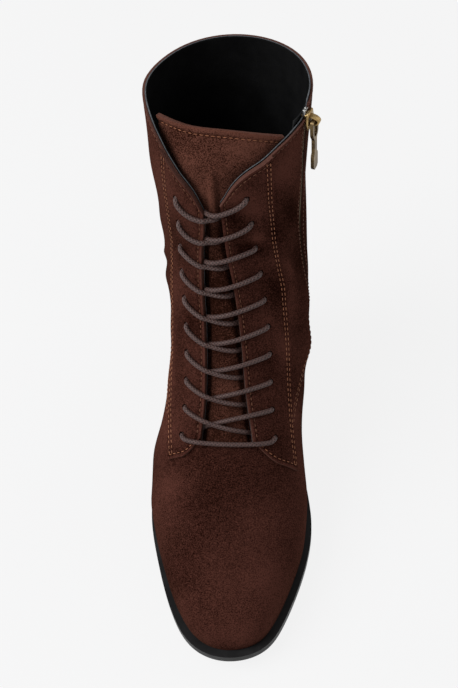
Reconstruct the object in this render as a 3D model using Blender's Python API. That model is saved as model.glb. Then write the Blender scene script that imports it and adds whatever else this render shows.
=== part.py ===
"""Right-foot lace-up ankle boot on a block heel, with a zip on its inner side.

The toe points along -Y, the inner (medial) side is +X and the floor is Z = 0.
Every curved piece is read off one function, skin(), which is the outside of the
upper worked out from the sections of the last.
"""
import bmesh
import bpy
import numpy as np
from mathutils import Matrix, Vector

# Driving sizes, in metres
LAST_LENGTH = 0.2457
BALL_WIDTH = 0.0884
BOOT_HEIGHT = 0.2280
HEEL_HEIGHT = 0.0560
SOLE_THICKNESS = 0.0045
WALL = 0.0020
GAP = 0.0003
SKIN_GAP = 0.00045
TONGUE_GAP = 0.0007

# Feather line, where upper and sole meet: station is a share of the last's length from the
# toe, lateral and medial are half widths as shares of the ball width. The round of the heel
# is taken off by heel_cap().
OUTLINE = (
    (0.000, 0.000, 0.000),
    (0.023, 0.176, 0.183),
    (0.080, 0.294, 0.280),
    (0.166, 0.396, 0.362),
    (0.259, 0.480, 0.425),
    (0.341, 0.536, 0.446),
    (0.426, 0.554, 0.417),
    (0.520, 0.523, 0.355),
    (0.601, 0.468, 0.312),
    (0.683, 0.411, 0.294),
    (0.764, 0.368, 0.305),
    (0.878, 0.334, 0.325),
    (1.000, 0.330, 0.330),
)

# Underside of the outsole: station, rise as a share of the heel height. Below zero means
# pressed flat on the floor.
SOLE_RISE = (
    (-0.018, 0.189),
    (0.000, 0.173),
    (0.072, 0.105),
    (0.153, 0.045),
    (0.214, 0.012),
    (0.259, -0.005),
    (0.316, -0.012),
    (0.377, -0.005),
    (0.414, 0.025),
    (0.446, 0.071),
    (0.520, 0.204),
    (0.601, 0.389),
    (0.683, 0.595),
    (0.764, 0.782),
    (0.829, 0.889),
    (0.894, 0.954),
    (0.951, 0.986),
    (1.010, 1.000),
)

# How far the outsole stands out beyond the feather line: station, ledge in metres
LEDGE = (
    (0.00, 0.0045),
    (0.11, 0.0040),
    (0.32, 0.0034),
    (0.64, 0.0026),
    (1.00, 0.0022),
)

# Back seam: climb from the heel seat (0) to the collar (1), overhang behind the heel end and
# depth of the round of the back as shares of the last's length, half width of the counter or
# shaft where that round begins as a share of the ball width
BACK_SEAM = (
    (0.000, 0.0000, 0.122, 0.330),
    (0.090, 0.0085, 0.130, 0.358),
    (0.190, 0.0100, 0.136, 0.378),
    (0.325, -0.0020, 0.142, 0.402),
    (0.475, -0.0130, 0.150, 0.424),
    (0.655, -0.0165, 0.160, 0.444),
    (0.835, -0.0122, 0.168, 0.462),
    (1.000, -0.0061, 0.172, 0.478),
)

# Sections of the last, fanned from the toe to the collar. path is where the section starts:
# 0 to 1 runs round the feather line from toe to heel, 1 to 2 climbs the back seam. The front
# columns give the ridge of the vamp or the front of the shaft, lateral and medial the widest
# half widths, widest the share of the way up where they lie and top_power how square the
# section turns over at the front.
SECTION_COLUMNS = ("path", "front_station", "front_height", "front_side", "lateral", "medial",
                   "widest", "top_power")
SECTIONS = (
    (0.00, 0.000, 0.063, 0.000, 0.000, 0.000, 0.40, 2.2),
    (0.04, 0.005, 0.096, 0.002, 0.084, 0.088, 0.40, 2.2),
    (0.09, 0.021, 0.131, 0.005, 0.179, 0.186, 0.38, 2.3),
    (0.15, 0.056, 0.158, 0.005, 0.267, 0.258, 0.36, 2.3),
    (0.21, 0.105, 0.180, 0.002, 0.344, 0.319, 0.34, 2.3),
    (0.28, 0.172, 0.202, -0.005, 0.425, 0.387, 0.32, 2.2),
    (0.35, 0.249, 0.228, -0.014, 0.505, 0.443, 0.30, 2.1),
    (0.42, 0.324, 0.265, -0.025, 0.559, 0.457, 0.30, 2.0),
    (0.48, 0.387, 0.307, -0.036, 0.561, 0.437, 0.34, 2.0),
    (0.54, 0.438, 0.353, -0.043, 0.525, 0.419, 0.38, 2.0),
    (0.60, 0.483, 0.408, -0.048, 0.484, 0.416, 0.42, 2.0),
    (0.66, 0.524, 0.469, -0.051, 0.459, 0.425, 0.46, 2.0),
    (0.73, 0.558, 0.533, -0.054, 0.455, 0.437, 0.48, 2.0),
    (0.80, 0.585, 0.592, -0.059, 0.459, 0.443, 0.50, 2.0),
    (0.87, 0.603, 0.647, -0.064, 0.464, 0.443, 0.50, 2.0),
    (0.94, 0.615, 0.695, -0.070, 0.466, 0.441, 0.50, 2.0),
    (1.00, 0.623, 0.732, -0.075, 0.468, 0.439, 0.50, 2.0),
    (1.15, 0.630, 0.779, -0.079, 0.473, 0.437, 0.50, 2.0),
    (1.35, 0.636, 0.829, -0.081, 0.477, 0.439, 0.50, 2.0),
    (1.60, 0.642, 0.888, -0.079, 0.484, 0.446, 0.50, 2.0),
    (1.80, 0.646, 0.941, -0.074, 0.491, 0.455, 0.50, 2.0),
    (2.00, 0.648, 0.993, -0.068, 0.495, 0.464, 0.50, 2.0),
)
LAST_ROW = len(SECTIONS) - 1
HEEL_ROW = 16

# Stations between which the sections give way to the counter, which widens with height alone
COUNTER_START = 0.79
COUNTER_END = 0.93

# Facings, measured round the skin from the front line, in metres: section row, throat edge,
# eyelet and side seam of the lateral and of the medial facing
FACING_COLUMNS = ("row", "edge_lateral", "edge_medial", "hole_lateral", "hole_medial",
                  "seam_lateral", "seam_medial")
FACINGS = (
    (7.4, 0.0165, 0.0155, 0.0270, 0.0285, 0.0360, 0.0450),
    (8.3, 0.0142, 0.0138, 0.0260, 0.0275, 0.0370, 0.0430),
    (9.5, 0.0116, 0.0112, 0.0236, 0.0254, 0.0390, 0.0410),
    (11.0, 0.0106, 0.0094, 0.0226, 0.0248, 0.0410, 0.0395),
    (13.0, 0.0105, 0.0068, 0.0234, 0.0226, 0.0410, 0.0375),
    (15.0, 0.0088, 0.0042, 0.0245, 0.0204, 0.0390, 0.0350),
    (17.0, 0.0056, 0.0036, 0.0222, 0.0188, 0.0360, 0.0330),
    (18.3, 0.0050, 0.0034, 0.0214, 0.0166, 0.0340, 0.0310),
    (21.0, 0.0050, 0.0034, 0.0214, 0.0166, 0.0300, 0.0285),
)
FACING_THICKNESS = 0.0012
FACING_MARGIN = 0.10
TAB_ROW_LATERAL = 7.62
TAB_ROW_MEDIAL = 7.52
TAB_ROUND_RISE = 0.55
TAB_ROUND_SHARE = 0.55
EYELET_RADIUS = 0.0021
EYELET_COUNT = 10
FIRST_EYELET_ROW = 8.30
LAST_EYELET_ROW = 18.20

# Collar line: share of the way round from the front to the back, section row reached on the
# lateral and on the medial side. It dips to a V at the front, and steps up behind the zip.
COLLAR = (
    (0.00, 16.6, 17.6),
    (0.03, 17.3, 18.1),
    (0.07, 18.35, 18.95),
    (0.13, 19.05, 19.38),
    (0.19, 19.70, 19.65),
    (0.27, 20.45, 20.12),
    (0.36, 20.85, 20.38),
    (0.41, 20.93, 20.46),
    (0.45, 20.98, 20.86),
    (0.50, 21.00, 20.94),
    (0.60, 21.00, 21.00),
    (1.00, 21.00, 21.00),
)
THROAT_ROW = 7.95
COLLAR_START_ROW = 12.0

# Tongue: section row, half width on the lateral and on the medial side
TONGUE = (
    (7.1, 0.0230, 0.0230),
    (10.0, 0.0250, 0.0250),
    (14.0, 0.0280, 0.0260),
    (18.0, 0.0360, 0.0340),
    (20.75, 0.0430, 0.0420),
)
TONGUE_THICKNESS = 0.0022

# Top edge of the tongue: share across from lateral to medial, section row. Above the lacing the
# tongue flattens and its middle leans into the opening.
TONGUE_TOP = (
    (-1.0, 20.95),
    (0.0, 20.85),
    (1.0, 20.25),
)
TONGUE_LEAN = 0.0100
TONGUE_LEAN_ROW = 17.5

INSOLE_INSET = 0.0032
INSOLE_THICKNESS = 0.0022

HEEL_BREAST = 0.775
HEEL_INSET = 0.0008
HEEL_TAPER = 0.94

# Laces: round cord. A lace falls by a share of the eyelet pitch on its way across, and lies on
# the facing until it is past the throat edge: distance past the edge, share of that height.
LACE_DIAMETER = 0.0027
LACE_RADIUS = LACE_DIAMETER / 2
LACE_OVER = SKIN_GAP + FACING_THICKNESS + GAP + LACE_RADIUS
LACE_LOW = 0.0005
LACE_FALL = 0.92
FIRST_LACE_FALL = 0.64
BAR_SAG_ROWS = 0.20
LACE_END_GAP = 0.0006
LACE_DIP = (
    (-0.0005, 1.00),
    (0.0013, 0.90),
    (0.0025, 0.35),
    (0.0045, 0.00),
)

# Zip: a straight slit up the inner side, given by where it starts and ends in the side view
ZIP_FOOT_STATION = 0.735
ZIP_FOOT_HEIGHT = 0.080
ZIP_TOP_STATION = 0.768
ZIP_TOP_HEIGHT = 0.215
ZIP_FOOT_ROW = 12.2
ZIP_CHAIN_ROW = 12.65
ZIP_END_ROW = 20.55
ZIP_SLIT = 0.0070
ZIP_TAPE_WIDTH = 0.0180
TAPE_GAP = 0.0009
ZIP_TAPE_THICKNESS = 0.0008
ZIP_CHAIN_WIDTH = 0.0044
ZIP_CHAIN_THICKNESS = 0.0017
ZIP_STEPS = 12

# Slider and pull, turned to face the way the suede does there
SLIDER_ROW = 20.42
SLIDER_TURN = np.radians(-20)
SLIDER_LENGTH = 0.0100
SLIDER_WIDTH = 0.0084
SLIDER_PLATE = 0.0015
SLIDER_LIFT = 0.0006
SLIDER_NECK_LENGTH = 0.0064
SLIDER_NECK_WIDTH = 0.0042
BAIL_OPENING = 0.0038
BAIL_RISE = 0.0042
BAIL_BAND = 0.0011
BAIL_WIDTH = 0.0032
BAIL_ROOT = 0.0004
BAIL_STEPS = 8
HINGE_LIFT = 0.0017

# Pull tab: distance down from the hinge, half width of the tab, half width of the strip or hole
# in its middle. The hole runs from PULL_HOLE_FIRST to PULL_HOLE_LAST.
PULL_THICKNESS = 0.0018
PULL_PROFILE = (
    (-0.0007, 0.0020, 0.0017),
    (0.0001, 0.0032, 0.0018),
    (0.0007, 0.0035, 0.0019),
    (0.0030, 0.0037, 0.0021),
    (0.0068, 0.0036, 0.0021),
    (0.0086, 0.0032, 0.0017),
    (0.0094, 0.0027, 0.0009),
    (0.0118, 0.0016, 0.0006),
    (0.0195, 0.0016, 0.0006),
    (0.0208, 0.0025, 0.0009),
    (0.0220, 0.0028, 0.0010),
    (0.0284, 0.0028, 0.0010),
    (0.0303, 0.0017, 0.0006),
)
PULL_HOLE_FIRST = 2
PULL_HOLE_LAST = 6


def natural_spline(knots, values):
    """Smooth cubic through the knots, as a function of arrays."""
    knots = np.array(knots, float)
    values = np.array(values, float)
    count = len(knots)
    step = np.diff(knots)
    matrix = np.eye(count)
    right = np.zeros(count)
    for i in range(1, count - 1):
        matrix[i, i - 1:i + 2] = step[i - 1], 2 * (step[i - 1] + step[i]), step[i]
        rise = (values[i + 1] - values[i]) / step[i]
        fall = (values[i] - values[i - 1]) / step[i - 1]
        right[i] = 6 * (rise - fall)
    bend = np.linalg.solve(matrix, right)

    def curve(x):
        x = np.clip(np.asarray(x, float), knots[0], knots[-1])
        i = np.clip(np.searchsorted(knots, x) - 1, 0, count - 2)
        before = x - knots[i]
        after = knots[i + 1] - x
        cubic = (bend[i] * after ** 3 + bend[i + 1] * before ** 3) / (6 * step[i])
        left = (values[i] / step[i] - bend[i] * step[i] / 6) * after
        return cubic + left + (values[i + 1] / step[i] - bend[i + 1] * step[i] / 6) * before

    return curve


def monotone_curve(knots, values):
    """Cubic through the knots that never overshoots them."""
    knots = np.array(knots, float)
    values = np.array(values, float)
    step = np.diff(knots)
    slope = np.diff(values) / step
    tangent = np.zeros(len(knots))
    tangent[0] = slope[0]
    tangent[-1] = slope[-1]
    for i in range(1, len(knots) - 1):
        if slope[i - 1] * slope[i] > 0:
            near = 2 * step[i] + step[i - 1]
            far = step[i] + 2 * step[i - 1]
            tangent[i] = (near + far) / (near / slope[i - 1] + far / slope[i])

    def curve(x):
        x = np.clip(np.asarray(x, float), knots[0], knots[-1])
        i = np.clip(np.searchsorted(knots, x) - 1, 0, len(knots) - 2)
        t = (x - knots[i]) / step[i]
        ends = values[i] * (2 * t ** 3 - 3 * t ** 2 + 1) + values[i + 1] * (3 * t ** 2 - 2 * t ** 3)
        bends = tangent[i] * (t ** 3 - 2 * t ** 2 + t) + tangent[i + 1] * (t ** 3 - t ** 2)
        return ends + step[i] * bends

    return curve


def columns(table, curve):
    """One curve for each column after the first, over the first column."""
    parts = list(zip(*table))
    return [curve(parts[0], part) for part in parts[1:]]


def turn_of(station):
    """Share of half a turn round the feather line, 0 at the toe and 1 at the heel."""
    return np.arccos(np.clip(1 - 2 * np.asarray(station, float), -1, 1)) / np.pi


def station_of(turn):
    return (1 - np.cos(np.pi * np.asarray(turn, float))) / 2


outline_lateral, outline_medial = columns(
    [(turn_of(station), lateral, medial) for station, lateral, medial in OUTLINE], natural_spline)
rise_curve = columns(SOLE_RISE, natural_spline)[0]
ledge_curve = columns(LEDGE, monotone_curve)[0]
back_overhang, back_depth, back_half = columns(BACK_SEAM, natural_spline)
collar_lateral, collar_medial = columns(COLLAR, monotone_curve)
tongue_lateral, tongue_medial = columns(TONGUE, monotone_curve)
tongue_top = columns(TONGUE_TOP, natural_spline)[0]
facing = dict(zip(FACING_COLUMNS[1:], columns(FACINGS, monotone_curve)))
lace_dip = columns(LACE_DIP, monotone_curve)[0]

ROWS = np.arange(LAST_ROW + 1)
SECTION = dict(zip(SECTION_COLUMNS, zip(*SECTIONS)))
SMOOTH_COLUMNS = ("front_station", "front_height", "front_side")
section_curve = {
    name: (natural_spline if name in SMOOTH_COLUMNS else monotone_curve)(ROWS, SECTION[name])
    for name in SECTION_COLUMNS}


def along(station):
    """Y of a station, with the middle of the last at Y = 0."""
    return (np.asarray(station, float) - 0.5) * LAST_LENGTH


def sole_underside(station):
    return np.maximum(0.0, rise_curve(station) * HEEL_HEIGHT)


def sole_top(station):
    return sole_underside(station) + SOLE_THICKNESS


def heel_cap(station, height):
    """Share of the half width left where the back of the boot rounds in to its seam."""
    seat = float(sole_top(1.0)) + GAP
    climb = (np.asarray(height, float) - seat) / (BOOT_HEIGHT - seat)
    depth = back_depth(climb)
    into = (np.asarray(station, float) - 1 - back_overhang(climb)) / depth + 1
    return np.sqrt(np.maximum(0.0, 1 - np.maximum(0.0, into) ** 2))


def feather_half(turn, side):
    half = outline_lateral if side < 0 else outline_medial
    return float(half(turn) * heel_cap(station_of(turn), 0.0)) * BALL_WIDTH


def feather_point(turn, side, inset):
    """Point of the feather line in plan, moved in (inset) or out (negative inset)."""
    def plan(t):
        return np.array([side * feather_half(t, side), along(station_of(t))])

    nudge = 1e-3
    tangent = plan(min(1.0, turn + nudge)) - plan(max(0.0, turn - nudge))
    outward = np.array([tangent[1], -tangent[0]]) * side
    if turn in (0.0, 1.0):
        outward = np.array([0.0, 1.0 if turn else -1.0])
    return plan(turn) - outward / np.linalg.norm(outward) * inset


def counter_half(station, height, side):
    """Half width of the counter and the back of the shaft, before the round of the back."""
    seat = sole_top(np.minimum(station, 1.0)) + GAP
    climb = (height - seat) / (BOOT_HEIGHT - seat)
    outline = outline_lateral if side < 0 else outline_medial
    return (outline(turn_of(station)) + back_half(climb) - back_half(0.0)) * BALL_WIDTH


def section_points(row, side, samples=64):
    """One half of a section of the last, from its start on the sole or back seam to the front."""
    value = {name: float(curve(row)) for name, curve in section_curve.items()}
    path = value["path"]
    if path <= 1:
        station = station_of(path)
        outline = outline_lateral if side < 0 else outline_medial
        start = np.array([along(station), sole_top(station) + GAP])
        start_half = float(outline(path)) * BALL_WIDTH
    else:
        seat = float(sole_top(1.0)) + GAP
        climb = path - 1
        start = np.array([along(1 + back_overhang(climb)), seat + climb * (BOOT_HEIGHT - seat)])
        start_half = float(back_half(climb)) * BALL_WIDTH
    front = np.array([along(value["front_station"]), value["front_height"] * BOOT_HEIGHT])
    if path == 0:
        front = start
    front_side = value["front_side"] * BALL_WIDTH * side
    widest_half = max(value["lateral" if side < 0 else "medial"] * BALL_WIDTH, start_half)
    widest = value["widest"]
    angle = np.linspace(0, np.pi / 2, samples)
    low_up = widest * (1 - np.cos(angle))
    low_half = start_half + (widest_half - start_half) * np.sin(angle) ** 2
    over = np.sin(angle)
    top_up = widest + (1 - widest) * over
    power = value["top_power"]
    top_half = front_side + (widest_half - front_side) * np.maximum(0, 1 - over ** power) ** (1 / power)
    up = np.concatenate([low_up, top_up[1:]])
    half = np.concatenate([low_half, top_half[1:]])
    plane = start + (front - start) * up[:, None]
    station = plane[:, 0] / LAST_LENGTH + 0.5
    back = np.clip((station - COUNTER_START) / (COUNTER_END - COUNTER_START), 0, 1)
    back = back * back * (3 - 2 * back)
    half = half * (1 - back) + counter_half(station, plane[:, 1], side) * back
    half = half * heel_cap(station, plane[:, 1])
    return np.column_stack([side * half, plane])


FINE = 12
SPREAD = 96
FINE_ROWS = np.linspace(0, LAST_ROW, LAST_ROW * FINE + 1)


def half_lattice(side):
    """Sections of one side at even steps from the front line to the start, with their lengths."""
    points = np.zeros((len(FINE_ROWS), SPREAD + 1, 3))
    lengths = np.zeros(len(FINE_ROWS))
    for i, row in enumerate(FINE_ROWS):
        curve = section_points(row, side)[::-1]
        run = np.concatenate([[0], np.cumsum(np.linalg.norm(np.diff(curve, axis=0), axis=1))])
        lengths[i] = run[-1]
        stops = np.linspace(0, run[-1], SPREAD + 1)
        for axis in range(3):
            points[i, :, axis] = np.interp(stops, run, curve[:, axis])
    return points, lengths


LATERAL_POINTS, LATERAL_LENGTHS = half_lattice(-1)
MEDIAL_POINTS, MEDIAL_LENGTHS = half_lattice(1)
SKIN_POINTS = np.concatenate([LATERAL_POINTS[:, :0:-1], MEDIAL_POINTS], axis=1)
SKIN_NORMALS = np.cross(np.gradient(SKIN_POINTS, axis=1), np.gradient(SKIN_POINTS, axis=0))
SKIN_NORMALS /= np.maximum(np.linalg.norm(SKIN_NORMALS, axis=2, keepdims=True), 1e-12)


def girth(row, side):
    """Length of one half section, from the front line to its start."""
    return float(np.interp(row, FINE_ROWS, LATERAL_LENGTHS if side < 0 else MEDIAL_LENGTHS))


def skin(row, share, offset=0.0):
    """Outside of the upper: share runs from -1 (lateral start) over 0 (front) to 1 (medial start)."""
    down = min(max(row * FINE, 0.0), len(FINE_ROWS) - 1 - 1e-6)
    over = min(max((share + 1) * SPREAD, 0.0), 2 * SPREAD - 1e-6)
    i = int(down)
    j = int(over)
    u = down - i
    w = over - j

    def blend(grid):
        near = grid[i, j] * (1 - w) + grid[i, j + 1] * w
        far = grid[i + 1, j] * (1 - w) + grid[i + 1, j + 1] * w
        return near * (1 - u) + far * u

    point = blend(SKIN_POINTS)
    if offset:
        point = point + blend(SKIN_NORMALS) * offset
    return Vector(point)


def skin_across(row, across, offset=0.0):
    """The same, by distance round the skin from the front line, lateral negative."""
    return skin(row, across / girth(row, -1 if across < 0 else 1), offset)


def collar_row(share):
    return float(collar_lateral(-share) if share < 0 else collar_medial(share))


def zip_share(row):
    """Where a section crosses the zip's line on the medial side."""
    j = np.interp(row, FINE_ROWS, np.arange(len(FINE_ROWS)))
    points = MEDIAL_POINTS[int(round(float(j)))]
    climb = (points[:, 2] - ZIP_FOOT_HEIGHT) / (ZIP_TOP_HEIGHT - ZIP_FOOT_HEIGHT)
    line = along(ZIP_FOOT_STATION + (ZIP_TOP_STATION - ZIP_FOOT_STATION) * climb)
    return float(np.interp(0.0, points[:, 1] - line, np.linspace(0, 1, SPREAD + 1)))


for old in list(bpy.data.objects):
    bpy.data.objects.remove(old, do_unlink=True)

boot_parts = bpy.data.collections.new("block_heel_boot")
cutters = bpy.data.collections.new("cutters")
bpy.context.scene.collection.children.link(boot_parts)
bpy.context.scene.collection.children.link(cutters)

boot_root = bpy.data.objects.new("boot_root", None)
boot_parts.objects.link(boot_root)


def make_material(name, colour, roughness, metallic=0.0):
    material = bpy.data.materials.new(name)
    material.use_nodes = True
    shader = material.node_tree.nodes["Principled BSDF"]
    shader.inputs["Base Color"].default_value = (*colour, 1.0)
    shader.inputs["Roughness"].default_value = roughness
    shader.inputs["Metallic"].default_value = metallic
    return material


SUEDE = make_material("brown_suede", (0.055, 0.022, 0.015), 0.95)
RUBBER = make_material("black_rubber", (0.018, 0.018, 0.019), 0.55)
LINING = make_material("black_lining", (0.010, 0.010, 0.011), 0.95)
CORD = make_material("waxed_cord", (0.095, 0.060, 0.052), 0.60)
TAPE = make_material("zip_tape", (0.030, 0.016, 0.012), 0.90)
BRASS = make_material("antique_brass", (0.42, 0.30, 0.14), 0.35, 1.0)


def add_part(name, bm, material):
    """New object in the boot from a bmesh, its faces turned outwards."""
    bmesh.ops.recalc_face_normals(bm, faces=bm.faces[:])
    mesh = bpy.data.meshes.new(name)
    bm.to_mesh(mesh)
    bm.free()
    mesh.shade_smooth()
    mesh.set_sharp_from_angle(angle=np.radians(35))
    mesh.materials.append(material)
    part = bpy.data.objects.new(name, mesh)
    boot_parts.objects.link(part)
    part.parent = boot_root
    return part


def add_cutter(name, bm):
    mesh = bpy.data.meshes.new(name)
    bm.to_mesh(mesh)
    bm.free()
    cutter = bpy.data.objects.new(name, mesh)
    cutters.objects.link(cutter)
    cutter.parent = boot_root
    cutter.hide_render = True
    cutter.display_type = "WIRE"
    return cutter


def add_boolean(part, cutter, operation):
    modifier = part.modifiers.new(operation.lower() + "_" + cutter.name, "BOOLEAN")
    modifier.operation = operation
    modifier.solver = "EXACT"
    modifier.object = cutter


def placed_grid(across_count, along_count, place, left_out=None):
    """Grid whose corners go where place(i, j) says, without the cells named by left_out(i, j)."""
    bm = bmesh.new()
    bmesh.ops.create_grid(bm, x_segments=across_count, y_segments=along_count, size=1.0)

    def index(value, count):
        return (value + 1) / 2 * count

    if left_out:
        holes = []
        for face in bm.faces:
            middle = face.calc_center_median()
            if left_out(int(index(middle.x, across_count)), int(index(middle.y, along_count))):
                holes.append(face)
        bmesh.ops.delete(bm, geom=holes, context="FACES")
    for vert in bm.verts:
        i = round(index(vert.co.x, across_count))
        j = round(index(vert.co.y, along_count))
        vert.co = place(i, j)
    bmesh.ops.remove_doubles(bm, verts=bm.verts[:], dist=1e-6)
    return bm


def thicken(bm, thickness):
    """Give an open sheet a wall on its inner side."""
    bmesh.ops.solidify(bm, geom=bm.faces[:], thickness=thickness)


def sole_layer(turns, across_count, inset, top, bottom):
    """Closed layer between two heights over the feather line's plan, moved in by inset."""
    def place(i, j):
        turn = turns[j]
        share = i / across_count
        station = station_of(turn)
        edge = inset(station)
        left = feather_point(turn, -1, edge)
        right = feather_point(turn, 1, edge)
        x, y = left + (right - left) * share
        return Vector((x, y, top(y / LAST_LENGTH + 0.5)))

    bm = placed_grid(across_count, len(turns) - 1, place)
    raised = bmesh.ops.extrude_face_region(bm, geom=bm.faces[:])["geom"]
    for vert in [item for item in raised if isinstance(item, bmesh.types.BMVert)]:
        vert.co.z = bottom(vert.co.y / LAST_LENGTH + 0.5)
    return bm


SOLE_TURNS = [float(turn) for turn in np.linspace(0, 1, 37)]


def build_outsole():
    bm = sole_layer(SOLE_TURNS, 4, lambda station: -float(ledge_curve(station)), sole_top, sole_underside)
    return add_part("outsole", bm, RUBBER)


def build_insole():
    def seat(station):
        return sole_top(station) + GAP

    def top(station):
        return seat(station) + INSOLE_THICKNESS

    bm = sole_layer(SOLE_TURNS, 4, lambda station: INSOLE_INSET, top, seat)
    return add_part("insole", bm, LINING)


def build_heel():
    """Block heel: the heel end of the outsole, carried down to the floor with a slight taper."""
    turns = [float(turn) for turn in np.linspace(turn_of(HEEL_BREAST), 1, 13)]

    def inset(station):
        return HEEL_INSET - float(ledge_curve(station))

    def top(station):
        return sole_underside(station) - GAP

    def floor(station):
        return 0.0

    bm = sole_layer(turns, 6, inset, top, floor)
    centre = along((1 + HEEL_BREAST) / 2)
    for vert in bm.verts:
        if vert.co.z == 0.0:
            vert.co.x *= HEEL_TAPER
            vert.co.y = centre + (vert.co.y - centre) * HEEL_TAPER
    return add_part("heel", bm, RUBBER)


UPPER_ROWS = (0.0, 0.35, 0.7, 1.1, 1.6, 2.2, 3.0, 4.0, 5.0, 6.0, 6.8, 7.4, THROAT_ROW, 8.45, 8.95,
              9.45, 9.95, 10.5, 11.0, 11.6, ZIP_FOOT_ROW, 12.8, 13.4, 14.0, 14.6, 15.2, 15.65,
              HEEL_ROW, 16.6, 17.2, 17.9, 18.6, 19.4, 20.2, 21.0)
LATERAL_COLUMNS = 8
BACK_COLUMNS = 6
FACING_COLUMN_COUNT = 5
THROAT_COLUMNS = 2
ZIP_SIDE_COLUMNS = 4
HEEL_CROWDING = 1.2


def trimmed_row(row, share):
    """Row of a point once the sections above the ankle are cut along the collar line."""
    if row <= COLLAR_START_ROW:
        return row
    reach = (collar_row(share) - COLLAR_START_ROW) / (LAST_ROW - COLLAR_START_ROW)
    return COLLAR_START_ROW + (row - COLLAR_START_ROW) * reach


def settled_share(row, lowest, target):
    """Share where a line, given as target(row), meets a row that is cut by the collar line."""
    share = target(max(row, lowest))
    for _ in range(30):
        share = (share + target(max(trimmed_row(row, share), lowest))) / 2
    return share


def facing_share(row, name):
    side = -1 if name.endswith("lateral") else 1
    return side * float(facing[name](row)) / girth(row, side)


def slit_share(row, edge):
    """Edge of the zip's slit, -1 in front and 1 behind, closing to a point at the foot."""
    opened = min(1.0, 0.3 + 1.4 * (row - ZIP_FOOT_ROW))
    return zip_share(row) + edge * ZIP_SLIT / 2 * opened / girth(row, 1)


def column_shares(row):
    """Shares of the upper's columns in one row."""
    def facing_stop(name):
        return settled_share(row, THROAT_ROW, lambda level: facing_share(level, name))

    def slit_stop(edge):
        return settled_share(row, ZIP_FOOT_ROW, lambda level: slit_share(level, edge))

    stops = [
        (-1.0, LATERAL_COLUMNS, lambda t: t ** HEEL_CROWDING),
        (facing_stop("seam_lateral"), FACING_COLUMN_COUNT, float),
        (facing_stop("edge_lateral"), THROAT_COLUMNS, float),
        (0.0, THROAT_COLUMNS, float),
        (facing_stop("edge_medial"), FACING_COLUMN_COUNT, float),
        (facing_stop("seam_medial"), ZIP_SIDE_COLUMNS, float),
        (slit_stop(-1), 1, float),
        (slit_stop(1), BACK_COLUMNS, lambda t: 1 - (1 - t) ** HEEL_CROWDING),
        (1.0, 0, float),
    ]
    shares = []
    for (start, count, spacing), (end, _, _) in zip(stops, stops[1:]):
        shares += [start + (end - start) * spacing(k / count) for k in range(count)]
    return shares + [1.0]


THROAT_FIRST = LATERAL_COLUMNS + FACING_COLUMN_COUNT
THROAT_LAST = THROAT_FIRST + 2 * THROAT_COLUMNS
ZIP_COLUMN = THROAT_LAST + FACING_COLUMN_COUNT + ZIP_SIDE_COLUMNS


def build_upper(eyelet_cutter):
    """One hollow shell, open at the collar, down the throat, at the zip and underneath."""
    table = [column_shares(row) for row in UPPER_ROWS]
    throat_start = UPPER_ROWS.index(THROAT_ROW)
    zip_start = UPPER_ROWS.index(ZIP_FOOT_ROW)

    def place(i, j):
        share = table[j][i]
        return skin(trimmed_row(UPPER_ROWS[j], share), share)

    def left_out(i, j):
        in_throat = THROAT_FIRST <= i < THROAT_LAST and j >= throat_start
        return in_throat or (i == ZIP_COLUMN and j >= zip_start)

    bm = placed_grid(len(table[0]) - 1, len(UPPER_ROWS) - 1, place, left_out)
    thicken(bm, WALL)
    for vert in bm.verts:
        station = vert.co.y / LAST_LENGTH + 0.5
        if station < 1.0 + LEDGE[-1][1] / LAST_LENGTH:
            vert.co.z = max(vert.co.z, float(sole_top(station)) + GAP)
    upper = add_part("upper", bm, SUEDE)
    add_boolean(upper, eyelet_cutter, "DIFFERENCE")
    return upper


def facing_width(row, share_across, side):
    """Distance from the front line, from the throat edge (0) to the side seam (1)."""
    name = "lateral" if side < 0 else "medial"
    edge = float(facing["edge_" + name](row))
    seam = float(facing["seam_" + name](row))
    return edge + (seam - edge) * share_across


def eyelet_rows(side):
    """Section rows of the eyelets, evenly spaced along the facing."""
    hole = facing["hole_lateral" if side < 0 else "hole_medial"]
    rows = np.linspace(FIRST_EYELET_ROW, LAST_EYELET_ROW, 120)
    points = [skin_across(row, side * float(hole(row))) for row in rows]
    run = np.concatenate([[0], np.cumsum([(b - a).length for a, b in zip(points, points[1:])])])
    return [float(np.interp(stop, run, rows)) for stop in np.linspace(0, run[-1], EYELET_COUNT)]


EYELETS = {side: [(row, side * float(facing["hole_lateral" if side < 0 else "hole_medial"](row)))
                  for row in eyelet_rows(side)] for side in (-1, 1)}


def build_eyelet_cutter():
    bm = bmesh.new()
    for side in (-1, 1):
        for row, across in EYELETS[side]:
            inner = skin_across(row, across, -2 * WALL)
            outer = skin_across(row, across, 2 * WALL)
            turn = (outer - inner).to_track_quat("Z", "Y").to_matrix().to_4x4()
            bmesh.ops.create_cone(
                bm, cap_ends=True, segments=8, radius1=EYELET_RADIUS, radius2=EYELET_RADIUS,
                depth=(outer - inner).length, matrix=Matrix.Translation((inner + outer) / 2) @ turn)
    return add_cutter("eyelet_holes", bm)


FACING_ROWS = 22
FACING_CROWDING = 1.5


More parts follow.
